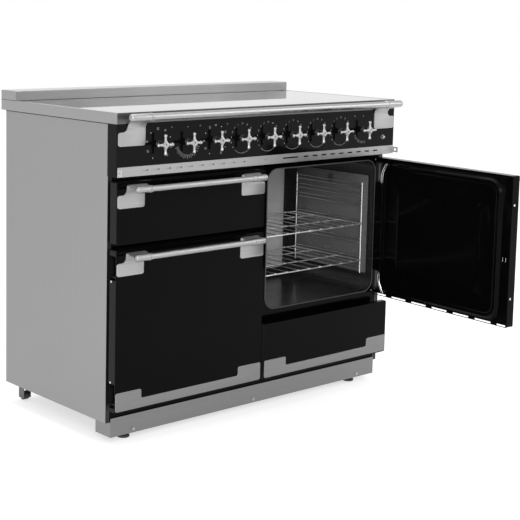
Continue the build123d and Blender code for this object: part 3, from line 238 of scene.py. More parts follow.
BRUSHED = (6.0, 500.0, 900.0)
SATIN = (8.0, 500.0, 700.0)
SATIN_TURNED = (500.0, 8.0, 700.0)
# The front, level and side shares of the steels are painted light and shade on faces by the way they look.
MATERIALS = {
    "upstand_steel": brushed("steel_upstand", 0.54, 0.34, BRUSHED, front=0.38, side=0.68),
    "plinth_steel": brushed("steel_plinth", 0.5, 0.34, BRUSHED, front=0.43, side=0.52),
    "hob_steel": brushed("steel_hob", 0.54, 0.3, BRUSHED, front=0.25, side=0.68),
    "foot_trim": brushed("steel_foot", 0.7, 0.34, SATIN, 0.06, front=0.31),
    "trim_steel": brushed("steel_trim", 0.6, 0.3, BRUSHED, front=0.62),
    "door_enamel": enamel("enamel_door", 0.002, 0.1, 120.0, 0.06),
    # edge paints a highlight on the sideways faces of the doors and drawer.
    "front_enamel": enamel("enamel_front", 0.026, 0.09, 260.0, 0.05, edge=18.0),
    "open_enamel": enamel("enamel_open", 0.0015, 0.09, 260.0, 0.05),
    "fan_enamel": speckled("enamel_fan", 0.56, 0.85, 0.16),
    "liner_enamel": speckled("enamel_liner", 0.115, 0.45, 0.22),
    "dial_ink": matt("ink_pale", (0.32, 0.32, 0.32), 0.5, 600.0),
    "side_enamel": painted_sheet("side_sheet", 0.36),
    "satin_trim": brushed("steel_satin", 0.8, 0.42, SATIN, 0.06, front=0.47, level=0.75),
    # satin_turned paints that shade on the open right door's brackets, with front and side swapped.
    "satin_turned": brushed("steel_turned", 0.8, 0.42, SATIN_TURNED, 0.06, level=0.75,
                            side=0.47),
    "polished_bar": plain_metal("bar_polished", 0.36, 0.4),
    "rail_bar": plain_metal("rail_polished", 0.38, 0.34),
    "black_enamel": enamel("enamel_black", 0.003, 0.09, 260.0, 0.11),
    "hob_ceramic": ceramic_glass("glass_ceramic"),
    "cavity_enamel": speckled("enamel_oven", 0.012, 0.12, 0.2),
    "zinc_sheet": plain_metal("zinc_plate", 0.16, 0.5),
    "chrome_wire": plain_metal("chrome_plate", 0.85, 0.18),
    "knob_metal": plain_metal("knob_plate", 0.42, 0.34),
    "rack_wire": plain_metal("rack_plate", 0.9, 0.4),
    # A pale, half-metal copy of the chrome that paints a glint on the wire ends.
    "wire_ends": plain_metal("wire_end_painted_glint", 0.95, 0.5, 0.4),
    # Near black for painted shade: the zinc hinges in their pockets and the knob stems behind the crosses.
    "painted_shade_black": plain_metal("painted_shade_black", 0.02, 0.4, 0.3),
    "gasket_rubber": matt("seal_woven", (0.07, 0.07, 0.068), 0.6, 900.0),
    "lens_blue": lens("lens_blue", (0.03, 0.07, 0.2)),
    "lamp_glass": lens("lamp_glass", (0.13, 0.13, 0.13)),
    "roller_plastic": matt("roller_black", (0.03, 0.03, 0.03), 0.5, 500.0),
    "screw_steel": plain_metal("screw_plate", 0.6, 0.3),
    "heater_sheath": plain_metal("heater_sheath", 0.2, 0.5, 0.8),
}


# ---------------------------------------------------------------- piece tools
def box(node):
    """Lowest and highest corner of a CAD node at rest, in millimetres."""
    low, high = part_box(node)
    return Vector(low) / MM, Vector(high) / MM


def rounded(corners, steps=6):
    """Outline with round corners; each corner is (u, v, radius)."""
    outline = []
    for k, (u, v, radius) in enumerate(corners):
        here = Vector((u, v))
        back = (Vector(corners[k - 1][:2]) - here).normalized()
        ahead = (Vector(corners[(k + 1) % len(corners)][:2]) - here).normalized()
        if radius == 0:
            outline.append(here)
            continue
        half = back.angle(ahead) / 2
        centre = here + (back + ahead).normalized() * (radius / math.sin(half))
        reach = radius / math.tan(half)
        start = here + back * reach - centre
        end = here + ahead * reach - centre
        turn = math.atan2(start.x * end.y - start.y * end.x, start.dot(end))
        for step in range(steps + 1):
            outline.append(centre + Matrix.Rotation(turn * step / steps, 2) @ start)
    return outline


def rectangle(u0, u1, v0, v1, radius=0, steps=6):
    """Counter-clockwise outline of a rectangle, with square or round corners."""
    return rounded([(u0, v0, radius), (u1, v0, radius), (u1, v1, radius), (u0, v1, radius)],
                   steps)


def inset(outline, distance):
    """Counter-clockwise outline moved inward."""
    moved = []
    for k, point in enumerate(outline):
        along = (outline[(k + 1) % len(outline)] - outline[k - 1]).normalized()
        moved.append(point + Vector((-along.y, along.x)) * distance)
    return moved


def rounded_levels(thickness, edge, steps=3):
    """Levels of a plate whose upper edge is rounded; each is (inset, height)."""
    levels = [(0.0, 0.0)]
    for step in range(steps + 1):
        angle = math.pi / 2 * step / steps
        levels.append((edge * (1 - math.cos(angle)), thickness - edge * (1 - math.sin(angle))))
    return levels


def facing_front(y):
    """Places (u, v, height) on a plane parallel to the front, with height towards the front."""
    return lambda u, v, height: Vector((u, y - height, v))


def facing_side(x, side):
    """Places (u, v, height) on a plane parallel to the sides; side 1 has height towards +X."""
    return lambda u, v, height: Vector((x + side * height, u, v))


class Piece:
    """One mesh under construction, in millimetres."""

    def __init__(self, name, turn=None):
        self.name = name
        self.turn = turn or Matrix.Identity(4)
        self.bm = bmesh.new()

    def skin(self, near, far):
        """Faces between two rings; either ring may be a single point."""
        for k in range(max(len(near), len(far))):
            corners = []
            for ring, step in ((near, 0), (near, 1), (far, 1), (far, 0)):
                vert = ring[(k + step) % len(ring)]
                if vert not in corners:
                    corners.append(vert)
            self.bm.faces.new(corners)

    def loft(self, rings, first_capped=True, looped=False):
        """Skin over a row of rings, closed at its ends or joined into a loop."""
        made = [[self.bm.verts.new(point) for point in ring] for ring in rings]
        for near, far in zip(made, made[1:]):
            self.skin(near, far)
        if looped:
            self.skin(made[-1], made[0])
            return
        ends = [made[0], made[-1]] if first_capped else [made[-1]]
        for ring in ends:
            if len(ring) > 2:
                self.bm.faces.new(ring)

    def turned(self, place, axis, profile, steps=40):
        """Round form about a line; profile is (distance along the line, radius)."""
        axis = Vector(axis)
        side = axis.orthogonal().normalized()
        across = axis.cross(side)
        rings = []
        for along, radius in profile:
            middle = Vector(place) + axis * along
            if radius == 0:
                rings.append([middle])
                continue
            angles = [2 * math.pi * k / steps for k in range(steps)]
            rings.append([middle + radius * (math.cos(a) * side + math.sin(a) * across)
                          for a in angles])
        self.loft(rings)

    def tube(self, path, radius, sides=12, looped=False):
        """Round wire along a path."""
        points = [Vector(point) for point in path]
        last = len(points) - 1
        rings = []
        side = None
        for k, point in enumerate(points):
            before = points[k - 1] if k or looped else point
            after = points[(k + 1) % len(points)] if k < last or looped else point
            heading = (after - before).normalized()
            side = heading.orthogonal() if side is None else side - heading * side.dot(heading)
            side = side.normalized()
            across = heading.cross(side)
            angles = [2 * math.pi * j / sides for j in range(sides)]
            rings.append([point + radius * (math.cos(a) * side + math.sin(a) * across)
                          for a in angles])
        self.loft(rings, looped=looped)

    def cushion(self, outline, levels, place):
        """Stack of inset copies of an outline; levels are (inset, height)."""
        self.loft([[place(point.x, point.y, height) for point in inset(outline, distance)]
                   for distance, height in levels])

    def slab(self, outline, thickness, place):
        """Plate with square edges."""
        self.cushion(outline, [(0.0, 0.0), (0.0, thickness)], place)

    def finish(self, smooth_under=32.0):
        bmesh.ops.recalc_face_normals(self.bm, faces=self.bm.faces)
        bmesh.ops.transform(
            self.bm, matrix=Matrix.Scale(MM, 4) @ self.turn, verts=self.bm.verts)
        return finish_mesh(self.name, self.bm, smooth_under)


def finish_mesh(name, bm, smooth_under=32.0):
    """Turn a bmesh into a linked object, smooth except over sharp edges."""
    limit = math.radians(smooth_under)
    bm.normal_update()
    for edge in bm.edges:
        edge.smooth = len(edge.link_faces) != 2 or edge.calc_face_angle(math.pi) < limit
    for face in bm.faces:
        face.smooth = True
    mesh = bpy.data.meshes.new(name)
    bm.to_mesh(mesh)
    bm.free()
    piece = bpy.data.objects.new(name, mesh)
    scene.collection.objects.link(piece)
    return piece


def attach(piece, *nodes, slot=None, body=None, look=None):
    """Give a piece its material and body, and let it stand for the named nodes."""
    slot = slot or SLOT_OF[nodes[0]]
    piece.data.materials.clear()
    piece.data.materials.append(MATERIALS[look or slot])
    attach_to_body(piece, body or BODY_OF[nodes[0]])
    if nodes:
        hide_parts(*nodes)
    return piece


WELD_METRES = 2e-6
FLAT_ANGLE = math.radians(0.4)
SHARP_ANGLE = math.radians(40.0)


def dress(node, edge_mm, look=None):
    """Stand a copy of a CAD node in its place, with its sharp edges rounded."""
    bm = bmesh.new()
    bm.from_mesh(frame["nodes"][node].data)
    bmesh.ops.remove_doubles(bm, verts=bm.verts, dist=WELD_METRES)
    bmesh.ops.dissolve_limit(bm, angle_limit=FLAT_ANGLE, verts=bm.verts, edges=bm.edges)
    piece = finish_mesh(node + "_finish", bm)
    rounding = piece.modifiers.new("rounding", "BEVEL")
    rounding.width = edge_mm * MM
    rounding.segments = 2
    rounding.limit_method = "ANGLE"
    rounding.angle_limit = SHARP_ANGLE
    rounding.harden_normals = True
    rounding.use_clamp_overlap = True
    return attach(piece, node, look=look)


# ---------------------------------------------------------------- carried-over nodes
LOOKS = {
    "upstand": "upstand_steel", "plinth": "plinth_steel", "hob_frame": "hob_steel",
    "vent_trim": "trim_steel", "front_frame": "open_enamel", "case_screws": "knob_metal",
    "left_door_skin": "front_enamel", "grill_door_skin": "front_enamel",
    "drawer_front": "front_enamel", "right_door_skin": "open_enamel",
    # The hinges are zinc plate, shown near black as painted shade.
    "hinge_brackets": "painted_shade_black", "left_door_hinges": "painted_shade_black",
    "right_door_hinges": "painted_shade_black",
}
for node, shown in frame["nodes"].items():
    shown.data.materials.clear()
    shown.data.materials.append(MATERIALS[LOOKS.get(node, SLOT_OF[node])])

ROUNDED = {
    "side_panel_left": 0.9, "side_panel_right": 0.9, "rear_panel": 0.5, "plinth": 0.7,
    "hob_frame": 1.0, "hob_glass": 0.6, "upstand": 0.7, "control_panel": 0.8,
    "vent_trim": 0.4, "front_frame": 0.5,
    "left_door_skin": 1.2, "right_door_skin": 1.2, "grill_door_skin": 1.2,
    "drawer_front": 1.5, "grill_door_liner": 1.0, "drawer_box": 0.4,
}
for node, edge in ROUNDED.items():
    dress(node, edge, look=LOOKS.get(node))

# ---------------------------------------------------------------- handrail and handles
NOSE = 9.0
NOSE_STEPS = 7
RISE = 0.7
GROOVE = -0.5
COLLARS = ((-0.6, 0.0), (0.0, RISE), (2.6, RISE), (3.2, GROOVE), (4.6, GROOVE), (5.2, RISE),
           (7.8, RISE), (8.6, 0.0))
COLLARS_BEFORE_END = 12.0
SLEEVE_STEP = 1.0
RIGHT_TURN_ANGLE = math.radians(87.0)
RIGHT_PIN = Vector(JOINT_PLACE["right_oven_door_hinge"]) / MM
RIGHT_TURN = (Matrix.Translation(RIGHT_PIN) @ Matrix.Rotation(RIGHT_TURN_ANGLE, 4, "Z")
              @ Matrix.Translation(-RIGHT_PIN))


def bar_profile(length, radius, sleeve_radius, sleeve):
    """Half of the bar's profile, from its nose to its middle."""
    profile = [(0.0, 0.0)]
    for step in range(1, NOSE_STEPS + 1):
        angle = math.pi / 2 * step / NOSE_STEPS
        profile.append((NOSE * (1 - math.cos(angle)), sleeve_radius * math.sin(angle)))
    start = sleeve - COLLARS_BEFORE_END
    profile += [(start + along, sleeve_radius + rise) for along, rise in COLLARS]
    return profile + [(sleeve, sleeve_radius), (sleeve + SLEEVE_STEP, radius),
                      (length / 2, radius)]


def bar_handle(name, node, x0, x1, y, z, radius, sleeve_radius, sleeve, turn=None, look=None):
    """Round bar with a sleeve and collars at each end."""
    length = x1 - x0
    half = bar_profile(length, radius, sleeve_radius, sleeve)
    profile = half + [(length - along, around) for along, around in reversed(half[:-1])]
    piece = Piece(name, turn)
    piece.turned((x0, y, z), (1, 0, 0), profile, 44)
    attach(piece.finish(40.0), node, look=look)


RAIL = {"radius": 9.5, "sleeve_radius": 10.5, "sleeve": 76.0}
HANDLE = {"radius": 8.0, "sleeve_radius": 9.2, "sleeve": 55.0}
low, high = box("handrail")
bar_handle("handrail_bar", "handrail", low.x, high.x, (low.y + high.y) / 2,
           (low.z + high.z) / 2, look="rail_bar", **RAIL)

HANDLE_Y = -41.0
HANDLE_INSET = 30.5
HANDLE_DROP = 16.0
DOOR_TURN = {"left_door": None, "grill_door": None, "right_door": RIGHT_TURN}
LEFT_LOW, LEFT_HIGH = box("left_door_skin")
GRILL_LOW, GRILL_HIGH = box("grill_door_skin")
DRAWER_LOW, DRAWER_HIGH = box("drawer_front")
RIGHT_LOW, RIGHT_HIGH = box("right_door_skin")
DOOR_X = {"left_door": (GRILL_LOW.x, GRILL_HIGH.x), "grill_door": (GRILL_LOW.x, GRILL_HIGH.x),
          "right_door": (DRAWER_LOW.x, DRAWER_HIGH.x)}
DOOR_Z = {"left_door": (LEFT_LOW.z, LEFT_HIGH.z), "grill_door": (GRILL_LOW.z, GRILL_HIGH.z),
          "right_door": (RIGHT_LOW.z, RIGHT_HIGH.z)}
for door, turn in DOOR_TURN.items():
    x0, x1 = DOOR_X[door]
    bar_handle(door + "_bar", door + "_handle", x0 + HANDLE_INSET, x1 - HANDLE_INSET, HANDLE_Y,
               DOOR_Z[door][1] - HANDLE_DROP, turn=turn, **HANDLE)

# ---------------------------------------------------------------- hooked brackets
PLATE_THICKNESS = 3.0
PLATE_WIDTH = 90.0
PLATE_MARGIN = 2.0
PLATE_CORNER = 6.0
NECK_INSET = 30.0
NECK_CURVE = 15.0
EDGE_ROUND = 0.9


def corner_inset(distance, radius):
    """How far a round corner stands in, at a distance from its end."""
    if distance >= radius:
        return 0.0
    return radius - math.sqrt(radius ** 2 - (radius - distance) ** 2)


def neck_inset(s, plate_height):
    """Inset of the bracket's far edge at a height s above its foot."""
    if s <= plate_height:
        return max(corner_inset(s, PLATE_CORNER), corner_inset(plate_height - s, PLATE_CORNER))
    over = NECK_CURVE - (s - plate_height)
    if over <= 0:
        return NECK_INSET
    return NECK_INSET - NECK_CURVE + math.sqrt(NECK_CURVE ** 2 - over ** 2)


def hook_bracket(piece, outer, inner, z0, plate_height, face_y, bend_z, bend_radius, reach_y,
                 bend_angle):
    """Plate with a neck that bends forward over the bar; outer is its far edge."""
    side = 1 if inner > outer else -1
    straight = bend_z - z0
    full = math.radians(bend_angle)
    arc = bend_radius * full
    shelf = (face_y - bend_radius * (1 - math.cos(full)) - reach_y) / math.sin(full)
    rows = [PLATE_CORNER * k / 6 for k in range(7)]
    rows += [plate_height - PLATE_CORNER * (6 - k) / 6 for k in range(7)]
    rows += [plate_height + 0.01 + NECK_CURVE * k / 8 for k in range(9)]
    rows += [straight + arc * k / 10 for k in range(11)]
    rows.append(straight + arc + shelf)
    rings = []
    for s in sorted(rows):
        left = outer + side * neck_inset(s, plate_height)
        right = inner - side * corner_inset(s, PLATE_CORNER)
        angle = min(max((s - straight) / bend_radius, 0.0), full)
        rise = min(s, straight)
        run = max(s - straight - arc, 0.0)
        y = face_y - bend_radius * (1 - math.cos(angle)) - run * math.sin(full)
        z = z0 + rise + bend_radius * math.sin(angle) + run * math.cos(full)
        forward = Vector((0.0, -math.cos(angle), -math.sin(angle)))
        ring = []
        for x, depth in ((left, 0.0), (left, PLATE_THICKNESS - EDGE_ROUND),
                         (left + side * EDGE_ROUND * 0.3, PLATE_THICKNESS - EDGE_ROUND * 0.3),
                         (left + side * EDGE_ROUND, PLATE_THICKNESS),
                         (right - side * EDGE_ROUND, PLATE_THICKNESS),
                         (right - side * EDGE_ROUND * 0.3, PLATE_THICKNESS - EDGE_ROUND * 0.3),
                         (right, PLATE_THICKNESS - EDGE_ROUND), (right, 0.0)):
            ring.append(Vector((x, y, z)) + forward * depth)
        rings.append(ring)
    piece.loft(rings)


def pair_of_brackets(name, node, near, far, turn=None, look=None, **shape):
    """Two hooked brackets, whose far edges are near and far."""
    piece = Piece(name, turn)
    hook_bracket(piece, near, near + PLATE_WIDTH, **shape)
    hook_bracket(piece, far, far - PLATE_WIDTH, **shape)
    attach(piece.finish(28.0), node, look=look)


RAIL_HOOK = {"plate_height": 37.0, "bend_radius": 26.0, "bend_angle": 90.0}
RAIL_BEND_RISE = 44.0
DOOR_HOOK = {"plate_height": 35.0, "bend_radius": 8.0, "bend_angle": 108.0}
DOOR_BEND_RISE = 2.0
DOOR_PLATE_DROP = 53.0
low, high = box("handrail_brackets")
rail_low, rail_high = box("handrail")
pair_of_brackets("handrail_hooks", "handrail_brackets", low.x, high.x, z0=low.z, face_y=high.y,
                 bend_z=low.z + RAIL_BEND_RISE, reach_y=(rail_low.y + rail_high.y) / 2,
                 **RAIL_HOOK)
for door, turn in DOOR_TURN.items():
    x0, x1 = DOOR_X[door]
    bar_z = DOOR_Z[door][1] - HANDLE_DROP
    pair_of_brackets(
        door + "_hooks", door + "_brackets", x0 + PLATE_MARGIN, x1 - PLATE_MARGIN, turn,
        "satin_turned" if turn else None, z0=bar_z - DOOR_PLATE_DROP, face_y=0.0,
        bend_z=bar_z + DOOR_BEND_RISE, reach_y=HANDLE_Y, **DOOR_HOOK)


# ---------------------------------------------------------------- bottom plates
def bottom_plate(name, node):
    """U-shaped trim plate with round corners."""
    low, high = box(node)
    pad = PLATE_WIDTH - PLATE_MARGIN
    band = low.z + 26.0
    corners = [(low.x, low.z), (high.x, low.z), (high.x, high.z), (high.x - pad, high.z),
               (high.x - pad, band), (low.x + pad, band), (low.x + pad, high.z),
               (low.x, high.z)]
    outline = rounded([(x, z, PLATE_CORNER) for x, z in corners])
    piece = Piece(name)
    piece.cushion(outline, rounded_levels(high.y - low.y, 0.7), facing_front(high.y))
    attach(piece.finish(28.0), node, look="foot_trim")


bottom_plate("left_door_foot_plate", "left_door_trim")
bottom_plate("drawer_foot_plate", "drawer_trim")

# ---------------------------------------------------------------- knobs
KNOB_COUNT = 9
PANEL_Y = 1.0
ARM_PROFILE = ((0.0, 4.6), (9.0, 4.6), (11.5, 4.3), (15.0, 4.0), (19.0, 4.0), (21.0, 4.3),
               (22.5, 4.9), (24.0, 5.2), (26.0, 5.0), (27.4, 4.0), (28.3, 2.4), (28.5, 0.0))
STEM_PROFILE = ((0.0, 8.6), (9.0, 8.6), (10.5, 7.6), (17.0, 7.6), (18.5, 9.2), (22.0, 9.2),
                (23.0, 10.4), (24.4, 10.4))


def diamond(half, radius):
    return rounded([(half, 0.0, radius), (0.0, half, radius), (-half, 0.0, radius),
                    (0.0, -half, radius)])


def knob(index):
    """Cast cross: four waisted arms, a diamond boss with a raised centre, and its stem."""
    node = "knob_%d" % index
    place = Vector(JOINT_PLACE[node + "_turn"]) / MM
    piece = Piece(node + "_cross")
    for axis in ((1, 0, 0), (-1, 0, 0), (0, 0, 1), (0, 0, -1)):
        piece.turned(place, axis, ARM_PROFILE, 20)
    shifted = facing_front(place.y + 4.6)
    boss = [Vector((place.x, place.z)) + point for point in diamond(13.6, 3.5)]
    piece.cushion(boss, rounded_levels(9.4, 1.8, 4), shifted)
    raised = [Vector((place.x, place.z)) + point for point in diamond(9.2, 2.4)]
    piece.cushion(raised, [(0.0, 8.0), (0.0, 9.8), (0.4, 10.6), (1.2, 11.0), (2.6, 10.8),
                           (3.4, 10.2), (4.2, 10.0)], shifted)
    attach(piece.finish(35.0), node)
    stem = Piece(node + "_stem")
    stem.turned((place.x, place.y + 3.0, place.z), (0, 1, 0), STEM_PROFILE, 32)
    # The stem is knob metal, shown near black as painted shade behind the cross.
    attach(stem.finish(35.0), slot="knob_metal", body=BODY_OF[node], look="painted_shade_black")


for index in range(1, KNOB_COUNT + 1):
    knob(index)

# ---------------------------------------------------------------- painted shadow lines
SHADOW_STRIP_HEIGHT = 2.4
SHADOW_STRIP_RISE = 0.5
SHADOW_STRIP_SETBACK = 1.0
SHADOW_LINE_BELOW = 0.4
SHADOW_LINE_ABOVE = 0.7
SHADOW_LINE_RISE = 0.15
hob_z = box("hob_frame")[0].z
case_low, case_high = box("side_panel_left")
up_low, up_high = box("upstand")
# Black strips painted as the shadowed gaps under the hob frame at the case sides and under the upstand.
shadow_strips = Piece("hob_shadow_strips")
for x, side in ((case_low.x, -1), (-case_low.x, 1)):
    shadow_strips.slab(rectangle(case_low.y + SHADOW_STRIP_SETBACK, case_high.y, hob_z - SHADOW_STRIP_HEIGHT, hob_z),
               SHADOW_STRIP_RISE, facing_side(x, side))
for x, side in ((up_low.x, -1), (up_high.x, 1)):
    shadow_strips.slab(rectangle(up_low.y, up_high.y, up_low.z - SHADOW_LINE_BELOW, up_low.z + SHADOW_LINE_ABOVE),
               SHADOW_LINE_RISE, facing_side(x, side))
attach(shadow_strips.finish(), slot="gasket_rubber", body="root", look="roller_plastic")

# ---------------------------------------------------------------- vent trim backing
BACKING_X = (-472.0, 2.0)
BACKING_Y = 3.0
BACKING_THICKNESS = 1.0
BACKING_ABOVE = 6.0
BACKING_BELOW = 4.0
low, high = box("vent_trim")
backing = Piece("vent_backing")
backing.slab(rectangle(*BACKING_X, low.z + BACKING_ABOVE, high.z - BACKING_BELOW),
             BACKING_THICKNESS, facing_front(BACKING_Y))
attach(backing.finish(), slot="satin_trim", body="root")

# ---------------------------------------------------------------- push button and lamps
low, high = box("push_button")
button_x = (low.x + high.x) / 2
button_z = (low.z + high.z) / 2
cap = Piece("push_button_cap")
cap.turned((button_x, low.y, button_z), (0, 1, 0),
           [(0.0, 0.0), (0.1, 1.4), (0.4, 2.6), (1.1, 3.7), (2.2, 4.35), (3.4, 4.5),
            (high.y - low.y, 4.5)])
attach(cap.finish(40.0), "push_button")
bezel = Piece("push_button_bezel")
bezel.turned((button_x, PANEL_Y - 3.2, button_z), (0, 1, 0),
             [(3.3, 4.9), (0.6, 4.9), (0.1, 5.3), (0.0, 6.0), (0.3, 6.9), (1.2, 7.7),
              (3.3, 8.1)])
attach(bezel.finish(40.0), slot="knob_metal", body="root")

KNOB_PITCH = 100.7
LENS_PROFILE = ((0.0, 3.0), (2.2, 3.0), (2.9, 2.5), (3.2, 1.5), (3.3, 0.0))
LENS_SINK = 2.0
LENS_Z = 859.0
lenses = Piece("indicator_domes")
for knobs, offset in ((-4, 43.5), (-3, 43.5), (-2, 43.5), (3, 63.4)):
    lenses.turned((KNOB_PITCH * knobs + offset, PANEL_Y + LENS_SINK, LENS_Z), (0, -1, 0),
                  LENS_PROFILE, 24)
attach(lenses.finish(40.0), "indicator_lenses")

# ---------------------------------------------------------------- dial printing
INK = 0.12
LINE = 0.8
DIAL_RADIUS = 42.0
HOB_MARKS = [(str(k), -4 - 20 * k) for k in range(1, 7)] + [("A", 26), ("9", 50)]
# First angle, angle between ticks, ticks, inner radius, outer radii in turn, width.
TICKED_DIALS = {2: (110, 8.75, 17, 34.0, (46.0, 43.5), 1.1),
                9: (168, 9.5, 9, 35.0, (43.0,), 1.0)}
FUNCTION_ANGLES = {1: range(-150, 151, 36), 3: range(-150, 151, 30)}
prints = Piece("dial_printing")


def dial_point(centre, radius, angle):
    """Place on a dial; angles run clockwise from the top."""
    turn = math.radians(angle)
    return Vector((centre.x + radius * math.sin(turn), centre.z + radius * math.cos(turn)))


def ink(outline):
    """Thin raised print on the control panel."""
    area = sum(a.x * b.y - b.x * a.y for a, b in zip(outline, outline[1:] + outline[:1]))
    if area < 0:
        outline = outline[::-1]
    prints.slab(outline, INK, facing_front(PANEL_Y))


def tick(centre, angle, near, far, width):
    turn = math.radians(angle)
    out = Vector((math.sin(turn), math.cos(turn)))
    across = Vector((out.y, -out.x)) * width / 2
    middle = Vector((centre.x, centre.z))
    ink([middle + out * near - across, middle + out * near + across,
         middle + out * far + across, middle + out * far - across])


def arc(centre, radius, start, end, width, steps=28):
    for step in range(steps):
        angles = [start + (end - start) * (step + part) / steps for part in (0.0, 1.0)]
        ink([dial_point(centre, radius - width / 2, angles[0]),
             dial_point(centre, radius - width / 2, angles[1]),
             dial_point(centre, radius + width / 2, angles[1]),
             dial_point(centre, radius + width / 2, angles[0])])


def dot(middle, radius, sides=12):
    ink([middle + radius * Vector((math.cos(2 * math.pi * k / sides),
                                   math.sin(2 * math.pi * k / sides)))
         for k in range(sides)])


def hollow_box(middle, half_w, half_h, line):
    for u0, u1, v0, v1 in ((-half_w, half_w, half_h - line, half_h),
                           (-half_w, half_w, -half_h, -half_h + line),
                           (-half_w, -half_w + line, -half_h, half_h),
                           (half_w - line, half_w, -half_h, half_h)):
        ink([middle + corner for corner in rectangle(u0, u1, v0, v1)])


def digits(centre, texts, radius, height):
    """Numbers round a dial, as flat meshes; texts are (number, angle)."""
    for text, angle in texts:
        curve = bpy.data.curves.new("digit", "FONT")
        curve.body = text
        curve.size = height
        curve.align_x = "CENTER"
        curve.align_y = "CENTER"
        holder = bpy.data.objects.new("digit", curve)
        scene.collection.objects.link(holder)
        bpy.context.view_layer.update()
        flat = bpy.data.meshes.new_from_object(
            holder.evaluated_get(bpy.context.evaluated_depsgraph_get()))
        middle = dial_point(centre, radius, angle)
        verts = [prints.bm.verts.new((middle.x + vert.co.x, PANEL_Y - INK, middle.y + vert.co.y))
                 for vert in flat.vertices]
        for polygon in flat.polygons:
            prints.bm.faces.new([verts[k] for k in polygon.vertices])
        bpy.data.objects.remove(holder)
        bpy.data.curves.remove(curve)
        bpy.data.meshes.remove(flat)


def hob_dial(centre):
    """Power dial of a cooking zone: off mark, numbers up the left and an arc below."""
    hollow_box(dial_point(centre, DIAL_RADIUS, 0), 2.2, 2.2, LINE)
    digits(centre, HOB_MARKS, DIAL_RADIUS, 7.5)
    arc(centre, DIAL_RADIUS, 140, 222, LINE)


def ticked_dial(centre, start, pitch, count, near, fars, width):
    """Oven or grill dial: a dot at the top and radial ticks round the lower side."""
    dot(dial_point(centre, DIAL_RADIUS, 0), 1.5)
    for step in range(count):
        tick(centre, start + pitch * step, near, fars[step % len(fars)], width)


def function_dial(centre, places):
    """Function selector: small pictures reduced to plain boxes, bars and dots."""
    for step, angle in enumerate(places):
        middle = dial_point(centre, DIAL_RADIUS, angle)
        if step % 3 == 0:
            dot(middle, 1.7)
        elif step % 3 == 1:
            hollow_box(middle, 3.2, 3.2, LINE)
            tick(centre, angle, DIAL_RADIUS - 1.6, DIAL_RADIUS + 1.6, 0.9)
        else:
            hollow_box(middle, 3.4, 2.4, LINE)
            dot(middle, 1.0, 8)


for index in range(1, KNOB_COUNT + 1):
    centre = Vector(JOINT_PLACE["knob_%d_turn" % index]) / MM
    if index in TICKED_DIALS:
        ticked_dial(centre, *TICKED_DIALS[index])
    elif index in FUNCTION_ANGLES:
        function_dial(centre, FUNCTION_ANGLES[index])
    else:
        hob_dial(centre)
attach(prints.finish(), slot="screw_steel", body="root", look="dial_ink")


# ---------------------------------------------------------------- oven doors
def rect_ring(cx, cz, half_w, half_h, radius, y, steps=8):
    """Round-cornered ring parallel to the front."""
    outline = rectangle(cx - half_w, cx + half_w, cz - half_h, cz + half_h, radius, steps)
    return [Vector((point.x, y, point.y)) for point in outline]


LINER_Y = 28.0
PLATEAU_MARGIN = (34.0, 13.5)
BEAD_PROFILE = ((-2.0, 0.2), (0.0, 0.7), (1.8, 2.0), (3.4, 4.2), (4.8, 6.2), (6.4, 7.3),
                (8.4, 7.8), (10.6, 7.6), (12.4, 6.9), (13.8, 6.5), (15.4, 6.5), (17.0, 6.9),
                (19.0, 7.5), (21.4, 7.4), (23.6, 6.9), (26.0, 6.7))
EMBOSS_MARGIN = (70.5, 87.5)
EMBOSS_PROFILE = ((-4.0, 6.7), (-2.2, 7.3), (-0.6, 7.2), (0.8, 6.4), (2.2, 5.4), (4.0, 5.0))


def pressed_liner(name, door):
    """Pressed plateau of an oven door's inner panel, with its bead and embossed field."""
    x0, x1 = DOOR_X[door]
    z0, z1 = DOOR_Z[door]
    cx = (x0 + x1) / 2
    cz = (z0 + z1) / 2
    half_w = (x1 - x0) / 2 - PLATEAU_MARGIN[0]
    half_h = (z1 - z0) / 2 - PLATEAU_MARGIN[1]
    rings = [rect_ring(cx, cz, half_w - step, half_h - step, 45.0 - step, LINER_Y + rise)
             for step, rise in BEAD_PROFILE]
    half_w -= EMBOSS_MARGIN[0]
    half_h -= EMBOSS_MARGIN[1]
    rings += [rect_ring(cx, cz, half_w - step, half_h - step, 20.0 - step, LINER_Y + rise)
              for step, rise in EMBOSS_PROFILE]
    piece = Piece(name, DOOR_TURN[door])
    piece.loft(rings, first_capped=False)
    attach(piece.finish(50.0), slot="cavity_enamel", body=BODY_OF[door + "_liner"],
           look="door_enamel")


for door in ("left_door", "right_door"):
    pressed_liner(door + "_pressing", door)
    dress(door + "_liner", 0.6, look="door_enamel")


def hinge_arm(piece, hinge_x, side, path):
    """Looped wire arm on the inner face of a door; path is (from hinge edge, out, height)."""
    loop = [(w + 3.2, out, z) for w, out, z in path]
    loop += [(w - 3.2, out, z) for w, out, z in reversed(path)]
    piece.tube([(hinge_x + side * w, LINER_Y + out, z) for w, out, z in loop], 1.3, 10,
               looped=True)
    for w, out, z in (path[0], path[-1]):
        piece.turned((hinge_x + side * w, LINER_Y, z), (0, 1, 0),
                     [(0.0, 3.4), (out, 3.4), (out + 1.2, 3.0), (out + 1.8, 1.8),
                      (out + 1.8, 0.0)], 20)


ARM_CURVE = ((34.5, 4.0, 0.0), (33.5, 5.0, 12.0), (35.5, 6.0, 26.0), (40.5, 6.0, 40.0),
             (45.5, 5.0, 50.0), (49.5, 4.0, 60.0))
for door, side in (("left_door", 1), ("right_door", -1)):
    x0, x1 = DOOR_X[door]
    z0, z1 = DOOR_Z[door]
    hinge_x = x1 if side < 0 else x0
    piece = Piece(door + "_arms", DOOR_TURN[door])
    hinge_arm(piece, hinge_x, side, [(w, out, z1 - 78.0 + up) for w, out, up in ARM_CURVE])
    hinge_arm(piece, hinge_x, side, [(w, out, z0 + 73.0 - up) for w, out, up in ARM_CURVE])
    attach(piece.finish(35.0), slot="chrome_wire", body=BODY_OF[door + "_liner"])

